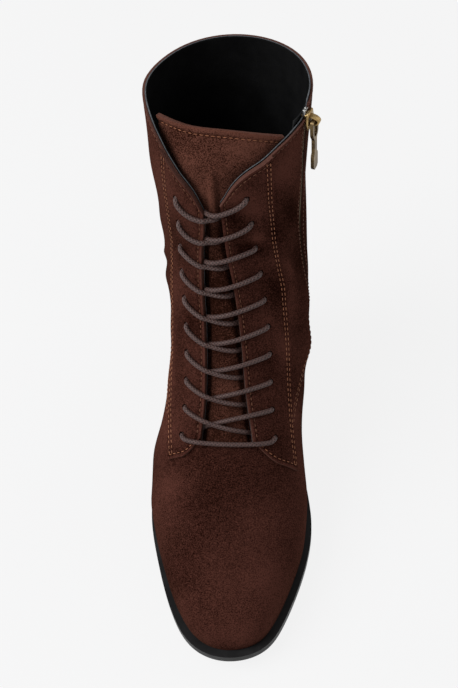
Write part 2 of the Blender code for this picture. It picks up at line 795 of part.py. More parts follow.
def build_facing(name, side, eyelet_cutter):
    """Overlay that carries the eyelets: a strip of the skin from the rounded tab to the collar."""
    tab_row = TAB_ROW_LATERAL if side < 0 else TAB_ROW_MEDIAL
    lift = SKIN_GAP + FACING_THICKNESS

    def place(i, j):
        share_across = (i if side > 0 else FACING_COLUMN_COUNT - i) / FACING_COLUMN_COUNT
        share_across = share_across ** FACING_CROWDING
        corner = max(0.0, 1 - share_across / TAB_ROUND_SHARE)
        bottom = tab_row + TAB_ROUND_RISE * corner ** 2
        width = facing_width(LAST_EYELET_ROW, share_across, side)
        top = collar_row(side * width / girth(LAST_EYELET_ROW, side)) - FACING_MARGIN
        row = bottom + (top - bottom) * j / FACING_ROWS
        return skin_across(row, side * facing_width(row, share_across, side), lift)

    bm = placed_grid(FACING_COLUMN_COUNT, FACING_ROWS, place)
    thicken(bm, FACING_THICKNESS)
    part = add_part(name, bm, SUEDE)
    add_boolean(part, eyelet_cutter, "DIFFERENCE")
    return part


TONGUE_ACROSS = 8
TONGUE_ALONG = 18


def build_tongue():
    """Sheet under the throat, wide at its top, just inside the upper's wall."""
    first = TONGUE[0][0]

    def place(i, j):
        share = 2 * i / TONGUE_ACROSS - 1
        row = first + (float(tongue_top(share)) - first) * j / TONGUE_ALONG
        width = float(tongue_lateral(row) if share < 0 else tongue_medial(row))
        above = max(0.0, (row - TONGUE_LEAN_ROW) / (LAST_ROW - TONGUE_LEAN_ROW))
        lean = TONGUE_LEAN * above ** 2 * (1 - share ** 2)
        return skin_across(row, share * width, -(WALL + TONGUE_GAP + lean))

    bm = placed_grid(TONGUE_ACROSS, TONGUE_ALONG, place)
    thicken(bm, TONGUE_THICKNESS)
    return add_part("tongue", bm, SUEDE)


def tube_mesh(name, points):
    """Mesh of a round lace along a line of points, closed at both ends."""
    line = bpy.data.curves.new(name, "CURVE")
    line.dimensions = "3D"
    line.bevel_depth = LACE_RADIUS
    line.bevel_resolution = 1
    line.use_fill_caps = True
    spline = line.splines.new("POLY")
    spline.points.add(len(points) - 1)
    for point, place in zip(spline.points, points):
        point.co = (*place, 1.0)
    holder = bpy.data.objects.new(name, line)
    cutters.objects.link(holder)
    graph = bpy.context.evaluated_depsgraph_get()
    mesh = bpy.data.meshes.new_from_object(holder.evaluated_get(graph))
    bm = bmesh.new()
    bm.from_mesh(mesh)
    bpy.data.meshes.remove(mesh)
    bpy.data.objects.remove(holder, do_unlink=True)
    bmesh.ops.remove_doubles(bm, verts=bm.verts[:], dist=1e-6)
    bmesh.ops.recalc_face_normals(bm, faces=bm.faces[:])
    return bm


def lace_point(row, across, side):
    """Point of a lace that comes from the eyelet on one side: on the facing, then down in the throat."""
    name = "edge_lateral" if side < 0 else "edge_medial"
    past_edge = float(facing[name](row)) - side * across
    return skin_across(row, across, LACE_LOW + (LACE_OVER - LACE_LOW) * float(lace_dip(past_edge)))


LACE_SAMPLES = np.linspace(0, 1, 201)


def lace_run(side, index):
    """Rows and distances across of the lace from one eyelet to the far edge of the throat."""
    row, start = EYELETS[side][index]
    lower = EYELETS[side][index - 1][0]
    far = facing["edge_medial" if side < 0 else "edge_lateral"]
    fall = 1 - (1 - LACE_SAMPLES) ** 2 if side < 0 else LACE_SAMPLES
    share = FIRST_LACE_FALL if index == 1 else LACE_FALL
    rows = row - share * (row - lower) * fall
    end = -side * (far(rows) - LACE_RADIUS - LACE_END_GAP)
    return rows, start + (end - start) * LACE_SAMPLES


def lace_stops(side, rows, across, last):
    """Samples where a lace's centre line bends, up to the last one."""
    near = facing["edge_lateral" if side < 0 else "edge_medial"]
    past_edge = near(rows) - side * across
    bends = [int(np.searchsorted(past_edge, distance)) for distance, _ in LACE_DIP]
    stops = [0, bends[0] // 2] + [stop for stop in bends if stop < last]
    return stops + [(stops[-1] + last) // 2, last]


def build_crossing(index):
    """Lace from a lateral eyelet over the throat, with the one from the medial eyelet let into it."""
    rows, across = lace_run(-1, index)
    under_rows, under_across = lace_run(1, index)
    meeting = [skin_across(row, distance) for row, distance in zip(rows, across)]
    under = [skin_across(row, distance) for row, distance in zip(under_rows, under_across)]
    gaps = [((a - b).length, i, j) for i, a in enumerate(meeting) for j, b in enumerate(under)]
    _, upper_stop, under_stop = min(gaps)
    name = "lace_cross_%d" % index
    lateral = [lace_point(rows[i], across[i], -1) for i in lace_stops(-1, rows, across, len(rows) - 1)]
    stops = lace_stops(1, under_rows, under_across, under_stop)
    medial = [lace_point(under_rows[i], under_across[i], 1) for i in stops[:-1]]
    medial.append(lace_point(rows[upper_stop], across[upper_stop], -1))
    crossing = add_part(name, tube_mesh(name, lateral), CORD)
    add_boolean(crossing, add_cutter(name + "_under", tube_mesh(name, medial)), "UNION")
    return crossing


def build_lace_bar():
    """Bar between the two lowest eyelets, sagging a little between the facings."""
    (row_lateral, lateral), (row_medial, medial) = EYELETS[-1][0], EYELETS[1][0]
    rows = row_lateral + (row_medial - row_lateral) * LACE_SAMPLES
    rows = rows - BAR_SAG_ROWS * np.sin(np.pi * LACE_SAMPLES)
    across = lateral + (medial - lateral) * LACE_SAMPLES
    middle = len(LACE_SAMPLES) // 2
    stops = lace_stops(-1, rows, across, middle)
    points = [lace_point(rows[i], across[i], -1) for i in stops]
    back = lace_stops(1, rows[::-1], across[::-1], middle)[:-1]
    points += [lace_point(rows[::-1][i], across[::-1][i], 1) for i in back[::-1]]
    return add_part("lace_bar", tube_mesh("lace_bar", points), CORD)


def build_zip_strip(name, first_row, width, across_count, offset, thickness, material):
    """Strip of the skin along the zip's line."""
    def place(i, j):
        row = first_row + (ZIP_END_ROW - first_row) * j / ZIP_STEPS
        share = zip_share(row) + (i / across_count - 0.5) * width / girth(row, 1)
        return skin(row, share, offset)

    bm = placed_grid(across_count, ZIP_STEPS, place)
    thicken(bm, thickness)
    return add_part(name, bm, material)


TAPE_OFFSET = -(WALL + TAPE_GAP)
CHAIN_OFFSET = TAPE_OFFSET + GAP + ZIP_CHAIN_THICKNESS
slider_seat = Matrix.Translation(skin(SLIDER_ROW, zip_share(SLIDER_ROW)))
slider_place = slider_seat @ Matrix.Rotation(SLIDER_TURN, 4, "Z")


def slider_box(low, high, width, length):
    """Box of the slider between two distances from the suede."""
    bm = bmesh.new()
    scale = Matrix.Diagonal((high - low, width, length, 1.0))
    middle = Matrix.Translation(((low + high) / 2, 0.0, 0.0))
    bmesh.ops.create_cube(bm, size=1.0, matrix=slider_place @ middle @ scale)
    return bm


def build_slider():
    """Slider plate on the suede, its neck in the slit and the bail that carries the pull."""
    outside = SLIDER_LIFT + SLIDER_PLATE

    def place(i, j):
        angle = np.pi * j / BAIL_STEPS
        reach = (BAIL_RISE + BAIL_BAND * i) * np.sin(angle)
        height = -(BAIL_OPENING / 2 + BAIL_BAND * i) * np.cos(angle)
        return slider_place @ Vector((outside - BAIL_ROOT + reach, BAIL_WIDTH / 2, height))

    bail = placed_grid(1, BAIL_STEPS, place)
    side = slider_place.to_3x3() @ Vector((0.0, -BAIL_WIDTH, 0.0))
    raised = bmesh.ops.extrude_face_region(bail, geom=bail.faces[:])["geom"]
    far = [item for item in raised if isinstance(item, bmesh.types.BMVert)]
    bmesh.ops.translate(bail, vec=side, verts=far)
    bmesh.ops.recalc_face_normals(bail, faces=bail.faces[:])
    slider = add_part("zip_slider", slider_box(SLIDER_LIFT, outside, SLIDER_WIDTH, SLIDER_LENGTH), BRASS)
    neck = slider_box(CHAIN_OFFSET + GAP, SLIDER_LIFT + BAIL_ROOT, SLIDER_NECK_WIDTH, SLIDER_NECK_LENGTH)
    add_boolean(slider, add_cutter("slider_neck", neck), "UNION")
    add_boolean(slider, add_cutter("slider_bail", bail), "UNION")
    return slider


def build_pull():
    """Pull tab, hanging from the bail on the bar at the top of its loop."""
    def place(i, j):
        down, half, inner = PULL_PROFILE[j]
        across = (-half, -inner, inner, half)[i]
        return Vector((PULL_THICKNESS / 2, across, -down))

    def left_out(i, j):
        return i == 1 and PULL_HOLE_FIRST <= j < PULL_HOLE_LAST

    bm = placed_grid(3, len(PULL_PROFILE) - 1, place, left_out)
    raised = bmesh.ops.extrude_face_region(bm, geom=bm.faces[:])["geom"]
    back = [item for item in raised if isinstance(item, bmesh.types.BMVert)]
    bmesh.ops.translate(bm, vec=(-PULL_THICKNESS, 0.0, 0.0), verts=back)
    pull = add_part("zip_pull", bm, BRASS)
    hinge = Vector((SLIDER_LIFT + SLIDER_PLATE + HINGE_LIFT, 0.0, 0.0))
    pull.location = slider_place @ hinge
    pull.rotation_euler = (0.0, 0.0, SLIDER_TURN)
    return pull


def centre_on_floor():
    """Stand the boot on Z = 0 with the middle of its box over the origin."""
    bpy.context.view_layer.update()
    graph = bpy.context.evaluated_depsgraph_get()
    corners = []
    for part in boot_parts.objects:
        if part.type == "MESH":
            solid = part.evaluated_get(graph)
            corners += [solid.matrix_world @ Vector(corner) for corner in solid.bound_box]
    low = [min(corner[axis] for corner in corners) for axis in range(3)]
    high = [max(corner[axis] for corner in corners) for axis in range(3)]
    boot_root.location = (-(low[0] + high[0]) / 2, -(low[1] + high[1]) / 2, -low[2])


eyelet_holes = build_eyelet_cutter()
build_outsole()
build_heel()
build_insole()
build_upper(eyelet_holes)
build_tongue()
build_facing("facing_lateral", -1, eyelet_holes)
build_facing("facing_medial", 1, eyelet_holes)
build_lace_bar()
for eyelet in range(1, EYELET_COUNT):
    build_crossing(eyelet)
build_zip_strip("zip_tape", ZIP_FOOT_ROW, ZIP_TAPE_WIDTH, 4, TAPE_OFFSET, ZIP_TAPE_THICKNESS, TAPE)
build_zip_strip("zip_chain", ZIP_CHAIN_ROW, ZIP_CHAIN_WIDTH, 1, CHAIN_OFFSET, ZIP_CHAIN_THICKNESS, BRASS)
build_slider()
build_pull()
centre_on_floor()
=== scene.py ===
"""Looks of a suede lace-up ankle boot on a block heel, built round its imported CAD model.

Sizes are metres in the CAD frame: the toe points along -Y, the inner (medial) side is +X
and the floor is Z = 0. The upper, facings, tongue, laces and zip are all read off skin(),
the outside of the upper worked out from the sections of the last.
"""
import math

import bmesh
import bpy
import numpy as np
from mathutils import Matrix, Vector


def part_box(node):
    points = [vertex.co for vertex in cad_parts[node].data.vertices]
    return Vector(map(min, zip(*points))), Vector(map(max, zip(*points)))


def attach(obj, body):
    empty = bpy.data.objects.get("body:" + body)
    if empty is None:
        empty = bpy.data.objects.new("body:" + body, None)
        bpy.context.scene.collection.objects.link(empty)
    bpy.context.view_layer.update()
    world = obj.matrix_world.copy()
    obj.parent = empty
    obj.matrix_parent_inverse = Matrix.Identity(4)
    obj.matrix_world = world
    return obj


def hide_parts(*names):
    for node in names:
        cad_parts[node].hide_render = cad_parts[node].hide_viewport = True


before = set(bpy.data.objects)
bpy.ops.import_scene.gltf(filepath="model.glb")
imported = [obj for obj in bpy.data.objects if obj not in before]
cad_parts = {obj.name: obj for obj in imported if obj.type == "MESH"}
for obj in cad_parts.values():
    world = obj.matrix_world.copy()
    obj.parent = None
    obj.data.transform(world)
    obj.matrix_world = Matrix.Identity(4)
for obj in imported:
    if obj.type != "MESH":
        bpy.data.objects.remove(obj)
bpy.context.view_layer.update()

# Outsole: one moulded black rubber sole with toe spring, a flat tread under the ball and an
# arch up to the heel seat. It stands out beyond the upper as a narrow flat ledge all round
# and is cemented to it. Its rim is slightly rounded and catches the light.
LATERAL = -1
MEDIAL = 1
SIDES = (LATERAL, MEDIAL)
LAST_LENGTH = 0.2457
BALL_WIDTH = 0.0884
BOOT_HEIGHT = 0.2280
HEEL_HEIGHT = 0.0560
SOLE_THICKNESS = 0.0045
SOLE_GAP = 0.0003
OUTLINE = (  # station from the toe, lateral and medial half width as shares of the ball width
    (0.000, 0.000, 0.000),
    (0.023, 0.176, 0.183),
    (0.080, 0.294, 0.280),
    (0.166, 0.396, 0.362),
    (0.259, 0.480, 0.425),
    (0.341, 0.536, 0.446),
    (0.426, 0.554, 0.417),
    (0.520, 0.523, 0.355),
    (0.601, 0.468, 0.312),
    (0.683, 0.411, 0.294),
    (0.764, 0.368, 0.305),
    (0.878, 0.334, 0.325),
    (1.000, 0.330, 0.330),
)
SOLE_RISE = (  # station, underside as a share of the heel height
    (-0.018, 0.189),
    (0.000, 0.173),
    (0.072, 0.105),
    (0.153, 0.045),
    (0.214, 0.012),
    (0.259, -0.005),
    (0.316, -0.012),
    (0.377, -0.005),
    (0.414, 0.025),
    (0.446, 0.071),
    (0.520, 0.204),
    (0.601, 0.389),
    (0.683, 0.595),
    (0.764, 0.782),
    (0.829, 0.889),
    (0.894, 0.954),
    (0.951, 0.986),
    (1.010, 1.000),
)
LEDGE = (  # station, ledge beyond the upper
    (0.00, 0.0045),
    (0.11, 0.0040),
    (0.32, 0.0034),
    (0.64, 0.0026),
    (1.00, 0.0022),
)
BACK_SEAM = (  # climb from heel seat to collar, overhang, depth of the round, half width
    (0.000, 0.0000, 0.122, 0.330),
    (0.090, 0.0085, 0.130, 0.358),
    (0.190, 0.0100, 0.136, 0.378),
    (0.325, -0.0020, 0.142, 0.402),
    (0.475, -0.0130, 0.150, 0.424),
    (0.655, -0.0165, 0.160, 0.444),
    (0.835, -0.0122, 0.168, 0.462),
    (1.000, -0.0061, 0.172, 0.478),
)


def natural_spline(knots, values):
    """Smooth cubic through the knots, as a function of arrays."""
    knots = np.array(knots, float)
    values = np.array(values, float)
    count = len(knots)
    step = np.diff(knots)
    matrix = np.eye(count)
    right = np.zeros(count)
    for i in range(1, count - 1):
        matrix[i, i - 1:i + 2] = step[i - 1], 2 * (step[i - 1] + step[i]), step[i]
        rise = (values[i + 1] - values[i]) / step[i]
        fall = (values[i] - values[i - 1]) / step[i - 1]
        right[i] = 6 * (rise - fall)
    bend = np.linalg.solve(matrix, right)

    def curve(x):
        x = np.clip(np.asarray(x, float), knots[0], knots[-1])
        i = np.clip(np.searchsorted(knots, x) - 1, 0, count - 2)
        before = x - knots[i]
        after = knots[i + 1] - x
        cubic = (bend[i] * after ** 3 + bend[i + 1] * before ** 3) / (6 * step[i])
        left = (values[i] / step[i] - bend[i] * step[i] / 6) * after
        return cubic + left + (values[i + 1] / step[i] - bend[i + 1] * step[i] / 6) * before

    return curve


def monotone_curve(knots, values):
    """Cubic through the knots that never overshoots them."""
    knots = np.array(knots, float)
    values = np.array(values, float)
    step = np.diff(knots)
    slope = np.diff(values) / step
    tangent = np.zeros(len(knots))
    tangent[0] = slope[0]
    tangent[-1] = slope[-1]
    for i in range(1, len(knots) - 1):
        if slope[i - 1] * slope[i] > 0:
            near = 2 * step[i] + step[i - 1]
            far = step[i] + 2 * step[i - 1]
            tangent[i] = (near + far) / (near / slope[i - 1] + far / slope[i])

    def curve(x):
        x = np.clip(np.asarray(x, float), knots[0], knots[-1])
        i = np.clip(np.searchsorted(knots, x) - 1, 0, len(knots) - 2)
        t = (x - knots[i]) / step[i]
        ends = values[i] * (2 * t ** 3 - 3 * t ** 2 + 1) + values[i + 1] * (3 * t ** 2 - 2 * t ** 3)
        bends = tangent[i] * (t ** 3 - 2 * t ** 2 + t) + tangent[i + 1] * (t ** 3 - t ** 2)
        return ends + step[i] * bends

    return curve


def columns(table, curve):
    """One curve for each column after the first, over the first column."""
    parts = list(zip(*table))
    return [curve(parts[0], part) for part in parts[1:]]


def turn_of(station):
    """Share of half a turn round the feather line, 0 at the toe and 1 at the heel."""
    return np.arccos(np.clip(1 - 2 * np.asarray(station, float), -1, 1)) / np.pi


def station_of(turn):
    return (1 - np.cos(np.pi * np.asarray(turn, float))) / 2


outline = dict(zip(SIDES, columns(
    [(turn_of(station), *halves) for station, *halves in OUTLINE], natural_spline)))
rise_curve = columns(SOLE_RISE, natural_spline)[0]
ledge_curve = columns(LEDGE, monotone_curve)[0]
back_overhang, back_depth, back_half = columns(BACK_SEAM, natural_spline)


def along(station):
    return (np.asarray(station, float) - 0.5) * LAST_LENGTH


def station_at(y):
    return y / LAST_LENGTH + 0.5


def sole_underside(station):
    return np.maximum(0.0, rise_curve(station) * HEEL_HEIGHT)


def sole_top(station):
    return sole_underside(station) + SOLE_THICKNESS


def on_sole(station):
    """Height of what lies on the sole."""
    return sole_top(station) + SOLE_GAP


HEEL_SEAT = float(on_sole(1.0))


def heel_cap(station, height):
    """Share of the half width left where the back of the boot rounds in to its seam."""
    climb = (np.asarray(height, float) - HEEL_SEAT) / (BOOT_HEIGHT - HEEL_SEAT)
    into = (np.asarray(station, float) - 1 - back_overhang(climb)) / back_depth(climb) + 1
    return np.sqrt(np.maximum(0.0, 1 - np.maximum(0.0, into) ** 2))


NUDGE = 1e-3


def feather_point(turn, side, inset):
    """Point of the line where upper and sole meet, in plan, moved in by inset."""
    def plan(t):
        width = float(outline[side](t) * heel_cap(station_of(t), 0.0)) * BALL_WIDTH
        return np.array([side * width, along(station_of(t))])

    tangent = plan(min(1.0, turn + NUDGE)) - plan(max(0.0, turn - NUDGE))
    outward = np.array([tangent[1], -tangent[0]]) * side
    if turn in (0.0, 1.0):
        outward = np.array([0.0, 1.0 if turn else -1.0])
    return plan(turn) - outward / np.linalg.norm(outward) * inset


def even_turns(count, start=0.0):
    """Turns round the sole from start to the heel, at even steps."""
    return [float(turn) for turn in np.linspace(start, 1, count)]


# The CAD model is centred on its box, so the last's own axes lie a little off the frame's
CAD_SOLE_TURNS = 37
cad_rim = [feather_point(turn, side, -float(ledge_curve(station_of(turn))))
           for side in SIDES for turn in even_turns(CAD_SOLE_TURNS)]
sole_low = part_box("outsole")[0]
LAST_SHIFT = np.array([sole_low.x - min(point[0] for point in cad_rim),
                       sole_low.y - min(point[1] for point in cad_rim), 0.0])


def sheet_bmesh(points, left_out=None, nap_and_painted_light=None):
    """Grid shaped to an array of points [along, across], without the cells that left_out marks.

    Where per-point values are given, they are kept as an attribute for the suede: nap and wear, with
    painted light and shade."""
    rows, across = points.shape[:2]
    bm = bmesh.new()
    bmesh.ops.create_grid(bm, x_segments=across - 1, y_segments=rows - 1, size=1.0)

    def index(value, count):
        return (value + 1) / 2 * (count - 1)

    if left_out is not None:
        holes = []
        for face in bm.faces:
            middle = face.calc_center_median()
            if left_out[int(index(middle.y, rows)), int(index(middle.x, across))]:
                holes.append(face)
        bmesh.ops.delete(bm, geom=holes, context="FACES")
    nap = None if nap_and_painted_light is None else bm.verts.layers.float.new("nap_and_painted_light")
    for vert in bm.verts:
        place = round(index(vert.co.y, rows)), round(index(vert.co.x, across))
        vert.co = points[place]
        if nap is not None:
            vert[nap] = nap_and_painted_light[place]
    return bm


def new_mesh(name, bm):
    mesh = bpy.data.meshes.new(name)
    bm.to_mesh(mesh)
    bm.free()
    return mesh


def new_object(name, data):
    made = bpy.data.objects.new(name, data)
    bpy.context.scene.collection.objects.link(made)
    return made


def finish_piece(name, bm, materials, body="boot", smooth_angle=40):
    """Object at the origin from a bmesh, shaded smooth up to an angle and riding on its body."""
    mesh = new_mesh(name, bm)
    for material in materials:
        mesh.materials.append(material)
    mesh.shade_smooth()
    mesh.set_sharp_from_angle(angle=math.radians(smooth_angle))
    piece = new_object(name, mesh)
    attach(piece, body)
    return piece


def add_bevel(piece, width, segments=2, angle=50):
    """Round the edges that are sharper than an angle in degrees."""
    bevel = piece.modifiers.new("rounded_edges", "BEVEL")
    bevel.width = width
    bevel.segments = segments
    bevel.limit_method = "ANGLE"
    bevel.angle_limit = math.radians(angle)
    bevel.harden_normals = False


def new_material(name, settings):
    """Material with its node tree, Principled shader with the settings, and Object coordinates."""
    material = bpy.data.materials.new(name)
    material.use_nodes = True
    tree = material.node_tree
    shader = tree.nodes["Principled BSDF"]
    for socket, value in settings.items():
        shader.inputs[socket].default_value = value
    place = tree.nodes.new("ShaderNodeTexCoord")
    return material, tree, shader, place.outputs["Object"]


def add_noise(tree, vector, scale, detail=3.0, roughness=0.55):
    noise = tree.nodes.new("ShaderNodeTexNoise")
    noise.inputs["Scale"].default_value = scale
    noise.inputs["Detail"].default_value = detail
    noise.inputs["Roughness"].default_value = roughness
    tree.links.new(vector, noise.inputs["Vector"])
    return noise.outputs["Fac"]


def add_math(tree, operation, first, second):
    """Math node between two sockets or numbers."""
    node = tree.nodes.new("ShaderNodeMath")
    node.operation = operation
    for socket, value in zip(node.inputs, (first, second)):
        if isinstance(value, (int, float)):
            socket.default_value = value
        else:
            tree.links.new(value, socket)
    return node.outputs["Value"]


def add_ramp(tree, factor, stops, socket):
    """Colour ramp into a socket, from (position, linear colour) stops."""
    node = tree.nodes.new("ShaderNodeValToRGB")
    ramp = node.color_ramp
    while len(ramp.elements) < len(stops):
        ramp.elements.new(0.5)
    for element, (position, colour) in zip(ramp.elements, stops):
        element.position = position
        element.color = (*colour, 1.0)
    tree.links.new(factor, node.inputs["Fac"])
    tree.links.new(node.outputs["Color"], socket)


def add_bump(tree, shader, height, strength, distance):
    bump = tree.nodes.new("ShaderNodeBump")
    bump.inputs["Strength"].default_value = strength
    bump.inputs["Distance"].default_value = distance
    tree.links.new(height, bump.inputs["Height"])
    tree.links.new(bump.outputs["Normal"], shader.inputs["Normal"])


BLUE_TINT = 1.04


def grey(value):
    """Neutral grey, faintly blue."""
    return (value, value, value * BLUE_TINT)


RUBBER_GRAIN = 0.0006
RIB_SCALE = 62.0
RIB_GAP = 0.25
RIB_GRAIN = 0.06
FACING_DOWN = -0.75


def rubber_material(name, dark, light, tread):
    """Matte moulded rubber with a fine grain, dusty in patches, ribbed underneath if tread is set."""
    material, tree, shader, place = new_material(name, {"Specular IOR Level": 0.22})
    dust = add_noise(tree, place, scale=55.0, detail=4.0)
    add_ramp(tree, dust, [(0.35, grey(dark)), (0.75, grey(light))], shader.inputs["Base Color"])
    gloss = add_noise(tree, place, scale=160.0)
    add_ramp(tree, gloss, [(0.3, grey(0.42)), (0.8, grey(0.60))], shader.inputs["Roughness"])
    height = add_noise(tree, place, scale=1900.0, detail=2.0)
    if tread:
        ribs = tree.nodes.new("ShaderNodeTexWave")
        ribs.wave_type = "BANDS"
        ribs.bands_direction = "Y"
        ribs.inputs["Scale"].default_value = RIB_SCALE
        ribs.inputs["Distortion"].default_value = 0.0
        tree.links.new(place, ribs.inputs["Vector"])
        normal = tree.nodes.new("ShaderNodeSeparateXYZ")
        geometry = tree.nodes.new("ShaderNodeNewGeometry")
        tree.links.new(geometry.outputs["True Normal"], normal.inputs["Vector"])
        under = add_math(tree, "LESS_THAN", normal.outputs["Z"], FACING_DOWN)
        rib = add_math(tree, "GREATER_THAN", ribs.outputs["Fac"], RIB_GAP)
        ribbed = add_math(tree, "MULTIPLY", rib, under)
        height = add_math(tree, "ADD", add_math(tree, "MULTIPLY", height, RIB_GRAIN), ribbed)
    add_bump(tree, shader, height, 0.6 if tread else 0.10, RUBBER_GRAIN)
    return material


SOLE_TURNS = 151
SOLE_ACROSS = 13
WELD = 1e-6


def plan_points(turns, across, inset, height):
    """Array of points over the plan of the sole, each at height(station)."""
    points = np.zeros((len(turns), across, 3))
    for j, turn in enumerate(turns):
        edge = inset(float(station_of(turn)))
        left, right = [feather_point(turn, side, edge) for side in SIDES]
        for i in range(across):
            x, y = left + (right - left) * i / (across - 1)
            points[j, i] = x, y, height(station_at(y))
    return points


def weld(bm):
    bmesh.ops.remove_doubles(bm, verts=bm.verts[:], dist=WELD)


def face_outwards(bm):
    bmesh.ops.recalc_face_normals(bm, faces=bm.faces[:])


def extrude(bm, faces):
    """Pull a wall out of some faces, and give the vertices and faces at its far end."""
    made = bmesh.ops.extrude_face_region(bm, geom=faces)["geom"]
    return [[item for item in made if isinstance(item, kind)]
            for kind in (bmesh.types.BMVert, bmesh.types.BMFace)]


def move_to_frame(bm):
    bmesh.ops.translate(bm, vec=Vector(LAST_SHIFT), verts=bm.verts[:])


def drop_layer(bm, bottom):
    """Close a shaped sheet with a wall and an underside at bottom(station), and move it to the frame."""
    weld(bm)
    for vert in extrude(bm, bm.faces[:])[0]:
        vert.co.z = bottom(station_at(vert.co.y))
    face_outwards(bm)
    move_to_frame(bm)


sole_rubber = rubber_material("sole_rubber", dark=0.006, light=0.013, tread=True)
outsole_bm = sheet_bmesh(plan_points(
    even_turns(SOLE_TURNS), SOLE_ACROSS, lambda s: -float(ledge_curve(s)), sole_top))
drop_layer(outsole_bm, sole_underside)
outsole = finish_piece("outsole_rubber", outsole_bm, [sole_rubber])
add_bevel(outsole, width=0.0006, segments=3)
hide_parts("outsole")

# Block heel: straight sided rubber block under the heel end of the sole, slightly tapered to
# the floor, with the joint of its wearing piece as a fine groove just above the floor.
HEEL_BREAST = 0.775
HEEL_INSET = 0.0008
HEEL_TAPER = 0.94
LIFT_HEIGHT = 0.0062
LIFT_GROOVE = 0.0005
GROOVE_SQUEEZE = 0.988
HEEL_TURNS = 61
HEEL_LEVELS = (  # height of each ring down the block, how far it is drawn in
    (LIFT_HEIGHT + LIFT_GROOVE, 1.0),
    (LIFT_HEIGHT + LIFT_GROOVE / 2, GROOVE_SQUEEZE),
    (LIFT_HEIGHT, 1.0),
    (0.0, 1.0),
)
heel_centre = float(along((1 + HEEL_BREAST) / 2))
heel_bm = sheet_bmesh(plan_points(
    even_turns(HEEL_TURNS, turn_of(HEEL_BREAST)), SOLE_ACROSS,
    lambda s: HEEL_INSET - float(ledge_curve(s)), lambda s: sole_underside(s) - SOLE_GAP))
weld(heel_bm)
heel_faces = heel_bm.faces[:]
last_taper = 1.0
for level, squeeze in HEEL_LEVELS:
    ring, heel_faces = extrude(heel_bm, heel_faces)
    taper = (1 - (1 - HEEL_TAPER) * (1 - level / HEEL_HEIGHT)) * squeeze
    for vert in ring:
        vert.co.x *= taper / last_taper
        vert.co.y = heel_centre + (vert.co.y - heel_centre) * taper / last_taper
        vert.co.z = level
    last_taper = taper
face_outwards(heel_bm)
move_to_frame(heel_bm)
heel_rubber = rubber_material("heel_rubber", dark=0.006, light=0.012, tread=False)
heel = finish_piece("heel_block", heel_bm, [heel_rubber])
add_bevel(heel, width=0.0005, angle=60)
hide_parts("heel")

# Insole: footbed of lined board on top of the sole, inside the upper, covered with the same
# black brushed textile as the lining.
INSOLE_INSET = 0.0032
INSOLE_THICKNESS = 0.0022
INSOLE_TURNS = 81
INSOLE_ACROSS = 9


def textile_material(name, dark, light, thread):
    """Brushed textile: a fine weave under short pile, a little greyer where it is rubbed."""
    material, tree, shader, place = new_material(name, {"Roughness": 0.95, "Specular IOR Level": 0.03})
    rubbed = add_noise(tree, place, scale=90.0, detail=5.0)
    add_ramp(tree, rubbed, [(0.3, grey(dark)), (0.8, grey(light))], shader.inputs["Base Color"])
    weave = add_noise(tree, place, scale=thread, detail=2.0)
    add_bump(tree, shader, weave, strength=0.35, distance=0.0004)
    return material


lining_textile = textile_material("lining_textile", dark=0.0030, light=0.0065, thread=1400.0)
insole_bm = sheet_bmesh(plan_points(
    even_turns(INSOLE_TURNS), INSOLE_ACROSS, lambda s: INSOLE_INSET,
    lambda s: on_sole(s) + INSOLE_THICKNESS))
drop_layer(insole_bm, on_sole)
insole = finish_piece("insole_footbed", insole_bm, [lining_textile])
add_bevel(insole, width=0.0008)
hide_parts("insole")

# Upper: vamp, quarters and shaft of dark brown suede, lasted to one hollow shell over the
# foot, open at the collar, down the throat and at the zip. The suede is softly dented where
# the boot has been handled. Its colour is lighter and darker in patches: partly the nap's own
# patches, partly painted light and shade on folds, creases and the shaded inner side.
SECTIONS = (  # path round feather line and back seam, front station, height and side, lateral
    # and medial half width, where the section is widest, how square it turns over
    (0.00, 0.000, 0.063, 0.000, 0.000, 0.000, 0.40, 2.2),
    (0.04, 0.005, 0.096, 0.002, 0.084, 0.088, 0.40, 2.2),
    (0.09, 0.021, 0.131, 0.005, 0.179, 0.186, 0.38, 2.3),
    (0.15, 0.056, 0.158, 0.005, 0.267, 0.258, 0.36, 2.3),
    (0.21, 0.105, 0.180, 0.002, 0.344, 0.319, 0.34, 2.3),
    (0.28, 0.172, 0.202, -0.005, 0.425, 0.387, 0.32, 2.2),
    (0.35, 0.249, 0.228, -0.014, 0.505, 0.443, 0.30, 2.1),
    (0.42, 0.324, 0.265, -0.025, 0.559, 0.457, 0.30, 2.0),
    (0.48, 0.387, 0.307, -0.036, 0.561, 0.437, 0.34, 2.0),
    (0.54, 0.438, 0.353, -0.043, 0.525, 0.419, 0.38, 2.0),
    (0.60, 0.483, 0.408, -0.048, 0.484, 0.416, 0.42, 2.0),
    (0.66, 0.524, 0.469, -0.051, 0.459, 0.425, 0.46, 2.0),
    (0.73, 0.558, 0.533, -0.054, 0.455, 0.437, 0.48, 2.0),
    (0.80, 0.585, 0.592, -0.059, 0.459, 0.443, 0.50, 2.0),
    (0.87, 0.603, 0.647, -0.064, 0.464, 0.443, 0.50, 2.0),
    (0.94, 0.615, 0.695, -0.070, 0.466, 0.441, 0.50, 2.0),
    (1.00, 0.623, 0.732, -0.075, 0.468, 0.439, 0.50, 2.0),
    (1.15, 0.630, 0.779, -0.079, 0.473, 0.437, 0.50, 2.0),
    (1.35, 0.636, 0.829, -0.081, 0.477, 0.439, 0.50, 2.0),
    (1.60, 0.642, 0.888, -0.079, 0.484, 0.446, 0.50, 2.0),
    (1.80, 0.646, 0.941, -0.074, 0.491, 0.455, 0.50, 2.0),
    (2.00, 0.648, 0.993, -0.068, 0.495, 0.464, 0.50, 2.0),
)
SECTION_COLUMNS = ("path", "front_station", "front_height", "front_side", "lateral", "medial",
                   "widest", "top_power")
LAST_ROW = len(SECTIONS) - 1
COUNTER_START = 0.79
COUNTER_END = 0.93
FACING_LINES = [(line, side) for line in ("edge", "hole", "seam") for side in SIDES]
